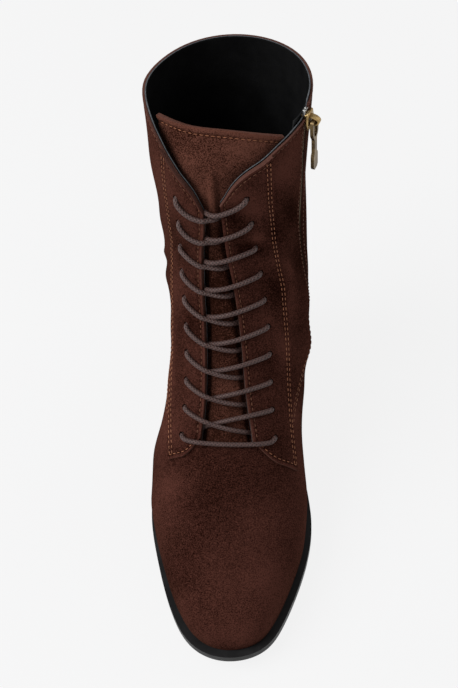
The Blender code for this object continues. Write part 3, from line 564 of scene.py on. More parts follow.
FACINGS = (  # section row, distances from the front line of edge, eyelets and seam on both sides
    (7.4, 0.0165, 0.0155, 0.0270, 0.0285, 0.0360, 0.0450),
    (8.3, 0.0142, 0.0138, 0.0260, 0.0275, 0.0370, 0.0430),
    (9.5, 0.0116, 0.0112, 0.0236, 0.0254, 0.0390, 0.0410),
    (11.0, 0.0106, 0.0094, 0.0226, 0.0248, 0.0410, 0.0395),
    (13.0, 0.0105, 0.0068, 0.0234, 0.0226, 0.0410, 0.0375),
    (15.0, 0.0088, 0.0042, 0.0245, 0.0204, 0.0390, 0.0355),
    (17.0, 0.0056, 0.0036, 0.0222, 0.0188, 0.0358, 0.0340),
    (18.3, 0.0050, 0.0034, 0.0214, 0.0166, 0.0328, 0.0320),
    (21.0, 0.0050, 0.0034, 0.0214, 0.0166, 0.0272, 0.0297),
)
COLLAR = (  # share of the way from front to back, section row on the lateral and medial side
    (0.00, 16.6, 17.5),
    (0.03, 17.3, 18.0),
    (0.05, 17.85, 18.36),
    (0.07, 18.28, 18.66),
    (0.10, 18.66, 18.98),
    (0.13, 18.95, 19.22),
    (0.19, 19.60, 19.56),
    (0.27, 20.36, 20.05),
    (0.36, 20.82, 20.36),
    (0.41, 20.93, 20.46),
    (0.45, 20.98, 20.86),
    (0.50, 21.00, 20.94),
    (0.60, 21.00, 21.00),
    (1.00, 21.00, 21.00),
)
THROAT_ROW = 7.95
COLLAR_START_ROW = 12.0
SUEDE_THICKNESS = 0.0013
ZIP_FOOT_STATION = 0.735
ZIP_FOOT_HEIGHT = 0.080
ZIP_TOP_STATION = 0.768
ZIP_TOP_HEIGHT = 0.215
ZIP_FOOT_ROW = 12.2
ZIP_SLIT = 0.0046
ZIP_KNOTS = 9

facing = dict(zip(FACING_LINES, columns(FACINGS, monotone_curve)))
collar = dict(zip(SIDES, columns(COLLAR, monotone_curve)))
SMOOTH_COLUMNS = ("front_station", "front_height", "front_side")
section_curve = {
    name: (natural_spline if name in SMOOTH_COLUMNS else monotone_curve)(range(LAST_ROW + 1), values)
    for name, values in zip(SECTION_COLUMNS, zip(*SECTIONS))}


def smooth_step(value, start, end):
    t = np.clip((value - start) / (end - start), 0, 1)
    return t * t * (3 - 2 * t)


def counter_half(station, height, side):
    """Half width of the counter and the back of the shaft, before the round of the back."""
    seat = on_sole(np.minimum(station, 1.0))
    climb = (height - seat) / (BOOT_HEIGHT - seat)
    return (outline[side](turn_of(station)) + back_half(climb) - back_half(0.0)) * BALL_WIDTH


def section_points(row, side, samples=64):
    """One half of a section of the last, from its start on the sole or back seam to the front."""
    value = {name: float(curve(row)) for name, curve in section_curve.items()}
    path = value["path"]
    if path <= 1:
        station = station_of(path)
        start = np.array([along(station), on_sole(station)])
        start_half = float(outline[side](path)) * BALL_WIDTH
    else:
        climb = path - 1
        height = HEEL_SEAT + climb * (BOOT_HEIGHT - HEEL_SEAT)
        start = np.array([along(1 + back_overhang(climb)), height])
        start_half = float(back_half(climb)) * BALL_WIDTH
    front = np.array([along(value["front_station"]), value["front_height"] * BOOT_HEIGHT])
    if path == 0:
        front = start
    front_side = value["front_side"] * BALL_WIDTH * side
    widest_half = max(value["lateral" if side < 0 else "medial"] * BALL_WIDTH, start_half)
    widest = value["widest"]
    angle = np.linspace(0, np.pi / 2, samples)
    low_half = start_half + (widest_half - start_half) * np.sin(angle) ** 2
    over = np.sin(angle)
    power = value["top_power"]
    top_half = front_side + (widest_half - front_side) * np.maximum(0, 1 - over ** power) ** (1 / power)
    up = np.concatenate([widest * (1 - np.cos(angle)), (widest + (1 - widest) * over)[1:]])
    half = np.concatenate([low_half, top_half[1:]])
    plane = start + (front - start) * up[:, None]
    station = station_at(plane[:, 0])
    back = smooth_step(station, COUNTER_START, COUNTER_END)
    half = half * (1 - back) + counter_half(station, plane[:, 1], side) * back
    half = half * heel_cap(station, plane[:, 1])
    return np.column_stack([side * half, plane])


FINE = 16
SPREAD = 128
FINE_ROWS = np.linspace(0, LAST_ROW, LAST_ROW * FINE + 1)


def run_along(points):
    """Distance from the first of some points to each of them, along their line."""
    return np.concatenate([[0], np.cumsum(np.linalg.norm(np.diff(points, axis=0), axis=1))])


def points_at(stops, run, points):
    """Points at some distances along a line."""
    return np.stack([np.interp(stops, run, points[:, axis]) for axis in range(3)], axis=-1)


def half_lattice(side):
    """Sections of one side at even steps from the front line to the start, with their lengths."""
    points = np.zeros((len(FINE_ROWS), SPREAD + 1, 3))
    lengths = np.zeros(len(FINE_ROWS))
    for i, row in enumerate(FINE_ROWS):
        curve = section_points(row, side)[::-1]
        run = run_along(curve)
        lengths[i] = run[-1]
        points[i] = points_at(np.linspace(0, run[-1], SPREAD + 1), run, curve)
    return points + LAST_SHIFT, lengths


lateral_points, lateral_lengths = half_lattice(LATERAL)
medial_points, medial_lengths = half_lattice(MEDIAL)
skin_points = np.concatenate([lateral_points[:, :0:-1], medial_points], axis=1)
skin_normals = np.cross(np.gradient(skin_points, axis=1), np.gradient(skin_points, axis=0))
skin_normals /= np.maximum(np.linalg.norm(skin_normals, axis=2, keepdims=True), 1e-12)
LAST_CELL = 1e-6


def girth(row, side):
    """Length of one half of a section, from the front line round to its start."""
    return np.interp(row, FINE_ROWS, lateral_lengths if side < 0 else medial_lengths)


def skin(row, share, offset=0.0):
    """Outside of the upper, by arrays: share runs from -1 (lateral) over 0 (front) to 1 (medial)."""
    row, share, offset = np.broadcast_arrays(
        np.asarray(row, float), np.asarray(share, float), np.asarray(offset, float))
    down = np.clip(row * FINE, 0, len(FINE_ROWS) - 1 - LAST_CELL)
    over = np.clip((share + 1) * SPREAD, 0, 2 * SPREAD - LAST_CELL)
    i = down.astype(int)
    j = over.astype(int)
    u = (down - i)[..., None]
    w = (over - j)[..., None]

    def blend(grid):
        near = grid[i, j] * (1 - w) + grid[i, j + 1] * w
        far = grid[i + 1, j] * (1 - w) + grid[i + 1, j + 1] * w
        return near * (1 - u) + far * u

    return blend(skin_points) + blend(skin_normals) * offset[..., None]


def girth_by(sign, row):
    return np.where(sign < 0, girth(row, LATERAL), girth(row, MEDIAL))


def across_at(row, share):
    """Distance round the skin from the front line, lateral negative."""
    share = np.asarray(share, float)
    return share * girth_by(share, row)


def soft_spots(spots, row, share):
    """Sum of soft round spots on the skin, each as high as its last value says."""
    across = across_at(row, share)
    height = np.zeros(np.shape(across))
    for centre, middle, tall, wide, rise in spots:
        height = height + rise * np.exp(-((row - centre) / tall) ** 2 - ((across - middle) / wide) ** 2)
    return height


CREASES = (  # row, distance across, half length up the boot, half length across, height
    (8.6, 0.0630, 0.9, 0.012, -0.0006),
    (10.0, 0.0660, 0.5, 0.010, 0.0010),
    (11.2, 0.0690, 0.6, 0.013, 0.0034),
    (12.5, 0.0640, 0.7, 0.014, 0.0018),
    (13.4, 0.0420, 0.5, 0.010, 0.0013),
    (14.6, 0.0520, 0.5, 0.011, -0.0013),
    (16.0, 0.0440, 0.6, 0.009, 0.0011),
    (17.4, 0.0470, 0.5, 0.010, -0.0013),
    (18.7, 0.0440, 0.5, 0.009, 0.0010),
    (18.6, 0.0770, 0.9, 0.011, -0.0013),
    (9.5, -0.0600, 0.9, 0.012, -0.0022),
    (11.0, -0.0510, 0.6, 0.012, -0.0012),
    (12.4, -0.0560, 0.6, 0.013, -0.0006),
    (13.8, -0.0590, 0.6, 0.012, 0.0017),
    (14.6, -0.0480, 0.3, 0.010, -0.0006),
    (15.5, -0.0640, 0.8, 0.013, 0.0019),
    (16.2, -0.0450, 0.3, 0.010, -0.0006),
    (17.2, -0.0570, 0.7, 0.012, 0.0014),
    (19.0, -0.0540, 0.8, 0.014, 0.0012),
    (6.6, -0.0300, 0.5, 0.014, -0.0007),
    (6.9, 0.0240, 0.5, 0.014, -0.0006),
    (12.4, -0.1000, 0.7, 0.018, 0.0011),
    (14.2, -0.1000, 0.7, 0.018, -0.0010),
    (12.8, 0.1000, 0.8, 0.012, 0.0009),
)


def relief(row, share):
    """Soft troughs and ridges of the handled suede, as a height over the skin."""
    return soft_spots(CREASES, row, share)


# Lighter and darker patches in the suede's colour. Some are the nap's own patches; many are painted light
# and shade: light on folds, shade in creases, a lit rim at the toe and the darker shaded inner side.
NAP_PATCHES_AND_PAINTED_LIGHT = (  # row, distance across, half length up the boot, half length across, lighter or darker
    (6.9, -0.0360, 0.45, 0.011, 0.080),
    (5.5, -0.0340, 0.40, 0.010, -0.030),
    (6.1, -0.0070, 0.60, 0.019, -0.025),
    (4.7, 0.0200, 0.70, 0.012, 0.040),
    (4.1, -0.0240, 0.40, 0.010, -0.040),
    (6.6, 0.0140, 0.70, 0.020, -0.040),
    (4.2, 0.0060, 0.80, 0.026, 0.040),
    (1.6, 0.0000, 0.80, 0.020, 0.045),
    (3.2, -0.0300, 0.80, 0.008, 0.050),
    (3.4, 0.0280, 0.80, 0.008, 0.060),
    (15.8, -0.0190, 1.60, 0.010, -0.045),
    (16.4, 0.0430, 1.80, 0.009, -0.061),
    (10.6, -0.0420, 1.60, 0.008, 0.110),
    (10.6, 0.0310, 0.40, 0.006, 0.068),
    (8.9, 0.0410, 0.50, 0.006, 0.050),
    (7.8, 0.0460, 0.50, 0.008, 0.060),
    (17.8, 0.0180, 0.40, 0.009, 0.121),
    (16.2, 0.0220, 0.25, 0.004, 0.149),
    (16.6, 0.0330, 0.60, 0.007, -0.081),
    (19.0, 0.0380, 0.50, 0.010, 0.121),
    (19.8, 0.0520, 0.60, 0.012, 0.081),
    (18.3, 0.0125, 0.35, 0.007, 0.095),
    (17.6, 0.0500, 0.60, 0.007, -0.095),
    (15.5, 0.0640, 2.80, 0.014, -0.095),
    (14.2, 0.0460, 0.50, 0.005, 0.081),
    (12.6, 0.0420, 0.60, 0.006, 0.095),
    (13.4, 0.0300, 0.60, 0.006, -0.081),
    (17.2, 0.0100, 0.60, 0.006, -0.108),
    (15.4, 0.0120, 0.70, 0.005, -0.081),
    (15.5, 0.0220, 0.60, 0.009, -0.095),
    (13.0, 0.0310, 0.80, 0.008, -0.054),
    (18.6, -0.0120, 0.50, 0.008, -0.070),
    (11.1, 0.0360, 0.35, 0.006, 0.121),
    (9.2, 0.0460, 0.35, 0.005, 0.070),
    (10.5, 0.0280, 0.50, 0.008, -0.088),
    (12.0, 0.0220, 0.50, 0.006, 0.054),
    (10.5, -0.0300, 1.50, 0.006, -0.050),
    (8.3, -0.0330, 0.40, 0.008, 0.040),
    (13.4, -0.0330, 0.70, 0.008, 0.045),
    (15.2, -0.0180, 0.80, 0.006, -0.055),
    (15.6, -0.0280, 1.60, 0.007, -0.045),
    (16.6, -0.0330, 0.70, 0.008, -0.050),
    (19.2, -0.0340, 0.60, 0.008, 0.045),
    (12.0, -0.0180, 0.60, 0.006, -0.050),
    (12.6, -0.0900, 0.90, 0.016, 0.045),
    (15.5, -0.0900, 1.20, 0.018, -0.045),
    (18.6, -0.0860, 0.80, 0.016, 0.045),
    (12.6, 0.1060, 0.80, 0.014, 0.045),
)
EDGE_INSET = 0.0022
GROOVE_HALF = 0.0007
EDGE_GROOVE = 0.00040
EDGE_WORN = 0.090
WORN_REACH = 0.0018
# How much the stitch grooves are darkened: painted shade.
GROOVE_SHADE = 0.070


def groove(distance, inset):
    return np.exp(-((distance - inset) / GROOVE_HALF) ** 2)


def rolled_edge(distance):
    """Height and colour beside a turned edge: rubbed lighter, with a groove where it is sewn that is
    darkened as painted shade.
    """
    sunk = groove(distance, EDGE_INSET)
    worn = EDGE_WORN * np.exp(-(np.maximum(0, distance) / WORN_REACH) ** 2)
    return -EDGE_GROOVE * sunk, worn - GROOVE_SHADE * sunk


ROW_STEP = 0.05


def row_length(row, share):
    """Distance on the skin from one section row to the next."""
    return np.linalg.norm(skin(row, share) - skin(row - ROW_STEP, share), axis=-1) / ROW_STEP


def by_side(curves, sign, at):
    """Lateral curve where sign is negative, otherwise the medial one."""
    return np.where(np.asarray(sign) < 0, curves[LATERAL](at), curves[MEDIAL](at))


def trimmed_row(row, share):
    """Row of a point once the sections above the ankle are cut along the collar line."""
    reach = by_side(collar, share, np.abs(share))
    share_up = (row - COLLAR_START_ROW) / (LAST_ROW - COLLAR_START_ROW)
    return np.where(row <= COLLAR_START_ROW, row, COLLAR_START_ROW + share_up * (reach - COLLAR_START_ROW))


def zip_share(row):
    """Where a section crosses the zip's line on the medial side."""
    points = medial_points[int(round(float(row) * FINE))] - LAST_SHIFT
    climb = (points[:, 2] - ZIP_FOOT_HEIGHT) / (ZIP_TOP_HEIGHT - ZIP_FOOT_HEIGHT)
    line = along(ZIP_FOOT_STATION + (ZIP_TOP_STATION - ZIP_FOOT_STATION) * climb)
    return float(np.interp(0.0, points[:, 1] - line, np.linspace(0, 1, SPREAD + 1)))


zip_rows = np.linspace(ZIP_FOOT_ROW, LAST_ROW, ZIP_KNOTS)
zip_curve = natural_spline(zip_rows, [zip_share(row) for row in zip_rows])
SETTLING_ROUNDS = 30


def settled_share(row, lowest, target, *line):
    """Share where a line, given as target(row, *line), meets a row that is cut by the collar line."""
    share = target(max(row, lowest), *line)
    for _ in range(SETTLING_ROUNDS):
        share = (share + target(max(float(trimmed_row(row, share)), lowest), *line)) / 2
    return share


def facing_share(row, line, side):
    return side * float(facing[line, side](row)) / float(girth(row, side))


SLIT_AT_FOOT = 0.3
SLIT_OPENING = 1.4


def slit_share(row, edge):
    """Edge of the zip's slit, -1 in front and 1 behind, closing to a point at the foot."""
    opened = min(1.0, SLIT_AT_FOOT + SLIT_OPENING * (row - ZIP_FOOT_ROW))
    return float(zip_curve(row)) + edge * ZIP_SLIT / 2 * opened / float(girth(row, MEDIAL))


COLUMN_COUNTS = (26, 14, 4, 4, 14, 14, 1, 22)


def column_shares(row):
    """Shares of the upper's columns in one row, with columns on the edges of throat and zip."""
    throat = [settled_share(row, THROAT_ROW, facing_share, line, side)
              for line, side in (("seam", LATERAL), ("edge", LATERAL), ("edge", MEDIAL), ("seam", MEDIAL))]
    slit = [settled_share(row, ZIP_FOOT_ROW, slit_share, edge) for edge in (-1, 1)]
    stops = [-1.0, *throat[:2], 0.0, *throat[2:], *slit, 1.0]
    shares = [start + (end - start) * k / count
              for start, end, count in zip(stops, stops[1:], COLUMN_COUNTS) for k in range(count)]
    return shares + [1.0]


ROW_BANDS = (  # first section row of a band, mesh rows in it
    (0.0, 11),
    (1.0, 13),
    (3.0, 29),
    (THROAT_ROW, 33),
    (ZIP_FOOT_ROW, 69),
    (20.4, 16),
    (LAST_ROW, 1),
)
UPPER_ROWS = np.concatenate([np.linspace(low, high, count, endpoint=False) for (low, count), (high, _)
                             in zip(ROW_BANDS, ROW_BANDS[1:])] + [[LAST_ROW]])
THROAT_FIRST = sum(COLUMN_COUNTS[:2])
THROAT_LAST = sum(COLUMN_COUNTS[:4])
ZIP_COLUMN = sum(COLUMN_COUNTS[:6])
column_table = np.array([column_shares(float(row)) for row in UPPER_ROWS])
upper_rows = trimmed_row(UPPER_ROWS[:, None], column_table)
throat_start = sum(count for row, count in ROW_BANDS if row < THROAT_ROW)
zip_start = sum(count for row, count in ROW_BANDS if row < ZIP_FOOT_ROW)
upper_holes = np.zeros((len(UPPER_ROWS) - 1, column_table.shape[1] - 1), bool)
upper_holes[throat_start:, THROAT_FIRST:THROAT_LAST] = True
upper_holes[zip_start:, ZIP_COLUMN] = True


def rest_on_sole(points):
    """Keep the lower edge of a shell on the sole."""
    station = station_at(points[..., 1] - LAST_SHIFT[1])
    points[..., 2] = np.maximum(points[..., 2], on_sole(np.minimum(station, 1.0)))
    return points


def add_wall(piece, thickness, inner, rim):
    """Wall on the inner side of an open sheet, with its own materials for inside and edge."""
    wall = piece.modifiers.new("wall", "SOLIDIFY")
    wall.thickness = thickness
    wall.offset = -1.0
    wall.use_even_offset = True
    wall.material_offset = inner
    wall.material_offset_rim = rim


PATCH_SHARE = 0.24
MOTTLE_SHARE = 0.13
GRAIN_SHARE = 0.63
MIDDLE_TONE = 0.92
MOTTLE_HEIGHT = 0.9


def suede_material(name, dark, light, nap, spread=0.115):
    """Suede: fine short nap, lighter and darker in soft patches, with hardly any shine. A per-point
    attribute from the mesh adds more patches: nap, and painted light and shade.
    """
    material, tree, shader, place = new_material(name, {
        "Roughness": 0.95, "Specular IOR Level": 0.0, "Sheen Weight": nap, "Sheen Roughness": 0.40,
        "Sheen Tint": (0.62, 0.30, 0.20, 1.0)})
    patches = add_noise(tree, place, scale=22.0, detail=1.0, roughness=0.5)
    mottle = add_noise(tree, place, scale=330.0, detail=3.0, roughness=0.65)
    grain = add_noise(tree, place, scale=1700.0, detail=2.0, roughness=0.6)
    mixed = add_math(tree, "MULTIPLY", patches, PATCH_SHARE)
    for noise, share in ((mottle, MOTTLE_SHARE), (grain, GRAIN_SHARE)):
        mixed = add_math(tree, "ADD", mixed, add_math(tree, "MULTIPLY", noise, share))
    # Per-point patches from the mesh: nap and wear, with painted light and shade.
    nap_and_painted_light = tree.nodes.new("ShaderNodeAttribute")
    nap_and_painted_light.attribute_name = "nap_and_painted_light"
    mixed = add_math(tree, "ADD", mixed, nap_and_painted_light.outputs["Fac"])
    middle = tuple((a + b) / 2 * MIDDLE_TONE for a, b in zip(dark, light))
    tones = [(0.5 - spread, dark), (0.5, middle), (0.5 + spread, light)]
    add_ramp(tree, mixed, tones, shader.inputs["Base Color"])
    height = add_math(tree, "ADD", grain, add_math(tree, "MULTIPLY", mottle, MOTTLE_HEIGHT))
    add_bump(tree, shader, height, strength=0.75, distance=0.0006)
    return material


BACK_SEAM_ROW = 16


def close_back(points):
    """Let both sides of a shell meet in one line at the back seam."""
    behind = UPPER_ROWS >= BACK_SEAM_ROW
    seam = (points[behind, 0] + points[behind, -1]) / 2
    points[behind, 0] = seam
    points[behind, -1] = seam
    return points


suede = suede_material(
    "brown_suede", dark=(0.0060, 0.0015, 0.0008), light=(0.0660, 0.0235, 0.0170), nap=0.04)
suede_edge = suede_material(
    "suede_cut_edge", dark=(0.030, 0.012, 0.0085), light=(0.080, 0.036, 0.028), nap=0.08)
upper_relief = relief(upper_rows, column_table)
from_collar = (upper_rows[-1] - upper_rows) * row_length(upper_rows, column_table)
# Collar edge: rubbed lighter, with its stitch groove darkened as painted shade.
collar_roll, collar_wear_and_painted_shade = rolled_edge(from_collar)
upper_points = close_back(rest_on_sole(skin(upper_rows, column_table, upper_relief + collar_roll)))
# Nap patches and the rubbed collar, with painted light and shade from the patch table and the collar's
# stitch groove.
upper_nap_and_painted_light = soft_spots(NAP_PATCHES_AND_PAINTED_LIGHT, upper_rows, column_table) + collar_wear_and_painted_shade
upper_bm = sheet_bmesh(upper_points, upper_holes, upper_nap_and_painted_light)
weld(upper_bm)
upper = finish_piece("upper_suede", upper_bm, [suede, suede_edge])
add_wall(upper, SUEDE_THICKNESS, inner=1, rim=1)
add_bevel(upper, width=0.00045)
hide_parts("upper")

# Lining: black brushed textile glued inside the upper, level with its edges. Its own cut edge
# is blue-grey and shows as a thin line along the inside of the collar and the throat.
LINING_GAP = 0.00005
LINING_THICKNESS = 0.00065
LINING_PROUD = 0.06


def speckled_material(name, settings, scale, dark, light):
    """Material that runs between two colours in fine specks."""
    material, tree, shader, place = new_material(name, settings)
    specks = add_noise(tree, place, scale=scale)
    add_ramp(tree, specks, [(0.3, dark), (0.8, light)], shader.inputs["Base Color"])
    return material


lining_edge = speckled_material("lining_cut_edge", {"Roughness": 0.8}, scale=500.0,
                                dark=(0.030, 0.033, 0.038), light=(0.085, 0.091, 0.100))
lining_depth = -(SUEDE_THICKNESS + LINING_GAP)
lining_climb = np.clip((UPPER_ROWS[:, None] - COLLAR_START_ROW) / (LAST_ROW - COLLAR_START_ROW), 0, 1)
lining_rows = upper_rows + lining_climb * np.minimum(LINING_PROUD, LAST_ROW - upper_rows[-1])
lining_points = rest_on_sole(skin(lining_rows, column_table, upper_relief + lining_depth))
lining_bm = sheet_bmesh(close_back(lining_points), upper_holes)
weld(lining_bm)
lining = finish_piece("upper_lining", lining_bm, [lining_textile, lining_edge])
add_wall(lining, LINING_THICKNESS, inner=0, rim=1)

# Facings: two suede overlays that carry ten punched eyelets each, from a rounded tab on the
# vamp up to the collar. Each is folded at the throat and sewn down beside its edges.
SKIN_GAP = 0.00045
FACING_THICKNESS = 0.0012
FACING_LIFT = SKIN_GAP + FACING_THICKNESS
FACING_WALL = 0.00155
FACING_MARGIN = -0.02
SEAM_INSETS = (0.0014, 0.0034)
SEAM_GROOVE = 0.00022
TAB_ROW = {LATERAL: 7.62, MEDIAL: 7.52}
TAB_ROUND_RISE = 0.55
TAB_ROUND_SHARE = 0.55
EYELET_RADIUS = 0.0017
EYELET_COUNT = 10
EYELET_LINE_POINTS = 120
FIRST_EYELET_ROW = 8.30
LAST_EYELET_ROW = 18.20
FACING_ACROSS = 40
FACING_UP = 180
SIDE_NAME = {LATERAL: "lateral", MEDIAL: "medial"}


def share_at(row, across):
    """Share of a distance round the skin from the front line, lateral negative."""
    across = np.asarray(across, float)
    return across / girth_by(across, row)


def skin_across(row, across, offset=0.0):
    return skin(row, share_at(row, across), offset)


def facing_across(rows, share, side):
    """Distance from the front line, signed, from the throat edge (0) to the side seam (1)."""
    edge = facing["edge", side](rows)
    seam = facing["seam", side](rows)
    return side * (edge + (seam - edge) * share)


def facing_bottom(share, side):
    """Row of the lower edge, rounded up to the throat."""
    return TAB_ROW[side] + TAB_ROUND_RISE * np.maximum(0, 1 - share / TAB_ROUND_SHARE) ** 2


def facing_top(share, side):
    """Row of the upper edge, settled on the collar line."""
    row = np.full(np.shape(share), LAST_EYELET_ROW)
    for _ in range(SETTLING_ROUNDS):
        width = np.abs(facing_across(row, share, side)) / girth(row, side)
        row = (row + collar[side](width) - FACING_MARGIN) / 2
    return row


def eyelet_places(side):
    """Rows and distances of the eyelets, evenly spaced along the facing."""
    hole = facing["hole", side]
    rows = np.linspace(FIRST_EYELET_ROW, LAST_EYELET_ROW, EYELET_LINE_POINTS)
    run = run_along(skin_across(rows, side * hole(rows)))
    stops = np.interp(np.linspace(0, run[-1], EYELET_COUNT), run, rows)
    return [(float(row), side * float(hole(row))) for row in stops]


eyelets = {side: eyelet_places(side) for side in SIDES}
HOLE_REACH = 0.005
HOLE_SIDES = 20
hole_bm = bmesh.new()
for places in eyelets.values():
    for row, across in places:
        inner = Vector(skin_across(row, across, -HOLE_REACH))
        outer = Vector(skin_across(row, across, HOLE_REACH))
        turn = (outer - inner).to_track_quat("Z", "Y").to_matrix().to_4x4()
        bmesh.ops.create_cone(
            hole_bm, cap_ends=True, segments=HOLE_SIDES, radius1=EYELET_RADIUS, radius2=EYELET_RADIUS,
            depth=(outer - inner).length, matrix=Matrix.Translation((inner + outer) / 2) @ turn)
hole_cutter = new_object("eyelet_holes", new_mesh("eyelet_holes", hole_bm))


def punch(piece):
    """Cut the eyelets and keep the piece as the mesh its modifiers make."""
    cut = piece.modifiers.new("eyelets", "BOOLEAN")
    cut.operation = "DIFFERENCE"
    cut.solver = "EXACT"
    cut.object = hole_cutter
    graph = bpy.context.evaluated_depsgraph_get()
    made = bpy.data.meshes.new_from_object(piece.evaluated_get(graph))
    piece.modifiers.clear()
    piece.data = made


def close_ends(count):
    """Steps from 0 to 1 that are finer towards both ends."""
    return (1 - np.cos(np.linspace(0, np.pi, count + 1))) / 2


for side in SIDES:
    share = close_ends(FACING_ACROSS)[::side]
    low = facing_bottom(share, side)
    top = facing_top(share, side)
    rows = low + (top - low) * close_ends(FACING_UP)[:, None]
    across = facing_across(rows, share, side)
    around = share_at(rows, across)
    from_end = np.minimum(rows - low, top - rows) * row_length(rows, around)
    from_throat = np.abs(across) - facing["edge", side](rows)
    # The nap values here are the rubbed edge, with painted shade in its stitch groove.
    roll, nap = rolled_edge(np.minimum(from_end, from_throat))
    from_seam = facing["seam", side](rows) - np.abs(across)
    sewn = sum(groove(from_seam, inset) for inset in SEAM_INSETS)
    height = FACING_LIFT + relief(rows, around) + roll - SEAM_GROOVE * sewn
    # Nap patches and rubbed edges, with painted shade in the sunk seam grooves.
    facing_nap_and_painted_light = soft_spots(NAP_PATCHES_AND_PAINTED_LIGHT, rows, around) + nap - GROOVE_SHADE * sewn
    facing_bm = sheet_bmesh(skin(rows, around, height), nap_and_painted_light=facing_nap_and_painted_light)
    piece = finish_piece("facing_suede_" + SIDE_NAME[side], facing_bm, [suede, suede_edge])
    add_wall(piece, FACING_WALL, inner=1, rim=1)
    add_bevel(piece, width=0.0005, segments=3)
    punch(piece)
    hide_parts("facing_" + SIDE_NAME[side])
punch(upper)
punch(lining)
bpy.data.objects.remove(hole_cutter, do_unlink=True)

# Tongue: soft suede sheet under the throat, thick and folded at its top edge, lying deeper
# under the facings, where the lace runs between it and the lining. Its back is black textile.
TONGUE = (  # section row, half width on the lateral and on the medial side
    (7.1, 0.0230, 0.0230),
    (10.0, 0.0250, 0.0250),
    (14.0, 0.0280, 0.0260),
    (18.0, 0.0350, 0.0340),
    (20.75, 0.0424, 0.0420),
)
TONGUE_TOP = (  # share across from lateral to medial, section row of the top edge
    (-1.0, 20.76),
    (0.0, 20.82),
    (1.0, 20.25),
)
# Patches on the tongue, partly nap and partly painted light and shade: lighter between the laces and at the
# foot of the open V, darker at the lateral top corner.
TONGUE_NAP_AND_PAINTED_LIGHT = (  # row, distance across, half length up the boot, half length across, lighter
    (9.9, 0.0020, 0.45, 0.008, 0.050),
    (11.6, 0.0000, 0.35, 0.008, 0.055),
    (18.0, 0.0000, 0.60, 0.008, 0.045),
    (8.6, 0.0020, 0.30, 0.010, 0.050),
    (19.6, -0.0120, 0.50, 0.010, 0.010),
    (20.0, 0.0180, 0.40, 0.012, 0.040),
    (19.0, 0.0040, 0.50, 0.010, 0.030),
    (20.2, -0.0260, 0.40, 0.008, -0.030),
)
# Painted shade: the tongue is darkened where it lies deep in the throat under the laces and facings.
TONGUE_SHADE = (  # row, darker
    (7.1, 0.020),
    (10.5, 0.045),
    (13.0, 0.080),
    (15.8, 0.085),
    (17.2, 0.0),
)
TONGUE_BEAD = 0.0022
TONGUE_BEAD_RISE = 0.0005
TONGUE_WORN = 0.070
TONGUE_STITCH = 0.0036
TONGUE_LEAN = 0.0100
TONGUE_LEAN_ROW = 17.5
TONGUE_CURL = 0.0021
TONGUE_CURL_SHARE = 0.30
TONGUE_THICKNESS = 0.0022
TONGUE_HIGH = -0.0027
TONGUE_LOW = -0.0050
TONGUE_SLOPE_START = 0.0003
TONGUE_SLOPE_END = 0.0033
TONGUE_FREE_START = LAST_EYELET_ROW + 0.2
TONGUE_FREE_END = LAST_EYELET_ROW + 1.2
TONGUE_UP = 120
TONGUE_ACROSS = 60
tongue_width = dict(zip(SIDES, columns(TONGUE, monotone_curve)))
throat_edge = {side: facing["edge", side] for side in SIDES}


def tongue_across(rows, share):
    return share * by_side(tongue_width, share, rows)


def tongue_offset(rows, share):
    """Depth of the tongue's outside: near the skin in the open throat, deeper under the facings,
    leaning in above the lacing, with its lateral edge curled off the wall."""
    across = tongue_across(rows, share)
    edge = by_side(throat_edge, across, rows)
    inside = smooth_step(edge - np.abs(across), TONGUE_SLOPE_START, TONGUE_SLOPE_END)
    above = smooth_step(rows, TONGUE_FREE_START, TONGUE_FREE_END)
    lean = np.maximum(0, (rows - TONGUE_LEAN_ROW) / (LAST_ROW - TONGUE_LEAN_ROW)) ** 2 * (1 - share ** 2)
    curl = smooth_step(-np.asarray(share), TONGUE_CURL_SHARE, 1.0) * above
    depth = TONGUE_LOW + (TONGUE_HIGH - TONGUE_LOW) * np.maximum(inside, above)
    return depth - TONGUE_LEAN * lean - TONGUE_CURL * curl


def tongue_points(rows, share, lift=0.0):
    return skin_across(rows, tongue_across(rows, share), tongue_offset(rows, share) + lift)


tongue_top = columns(TONGUE_TOP, natural_spline)[0]
tongue_share = np.linspace(-1, 1, TONGUE_ACROSS + 1)
tongue_low = TONGUE[0][0]
tongue_rows = tongue_low + (tongue_top(tongue_share) - tongue_low) * close_ends(TONGUE_UP)[:, None]
tongue_suede = suede_material("tongue_suede", dark=(0.0120, 0.0036, 0.0020),
                              light=(0.1000, 0.0385, 0.0265), nap=0.03, spread=0.09)
tongue_around = share_at(tongue_rows, tongue_across(tongue_rows, tongue_share))
tongue_nap_and_painted_light = soft_spots(TONGUE_NAP_AND_PAINTED_LIGHT, tongue_rows, tongue_around)
# Painted shade of the throat.
tongue_nap_and_painted_light -= columns(TONGUE_SHADE, monotone_curve)[0](tongue_rows)
from_top = (tongue_top(tongue_share) - tongue_rows) * row_length(tongue_rows, tongue_around)
tongue_bead = np.exp(-(from_top / TONGUE_BEAD) ** 4)
tongue_sewn = groove(from_top, TONGUE_STITCH)
# Rubbed bead lighter, and its stitch groove darkened as painted shade.
tongue_nap_and_painted_light += TONGUE_WORN * tongue_bead - GROOVE_SHADE * tongue_sewn
tongue_lift = TONGUE_BEAD_RISE * tongue_bead - EDGE_GROOVE * tongue_sewn
tongue_bm = sheet_bmesh(tongue_points(tongue_rows, tongue_share, tongue_lift), nap_and_painted_light=tongue_nap_and_painted_light)
tongue = finish_piece("tongue_suede", tongue_bm, [tongue_suede, lining_textile, suede_edge])
add_wall(tongue, TONGUE_THICKNESS, inner=1, rim=2)
add_bevel(tongue, width=0.0009, segments=3)
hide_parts("tongue")

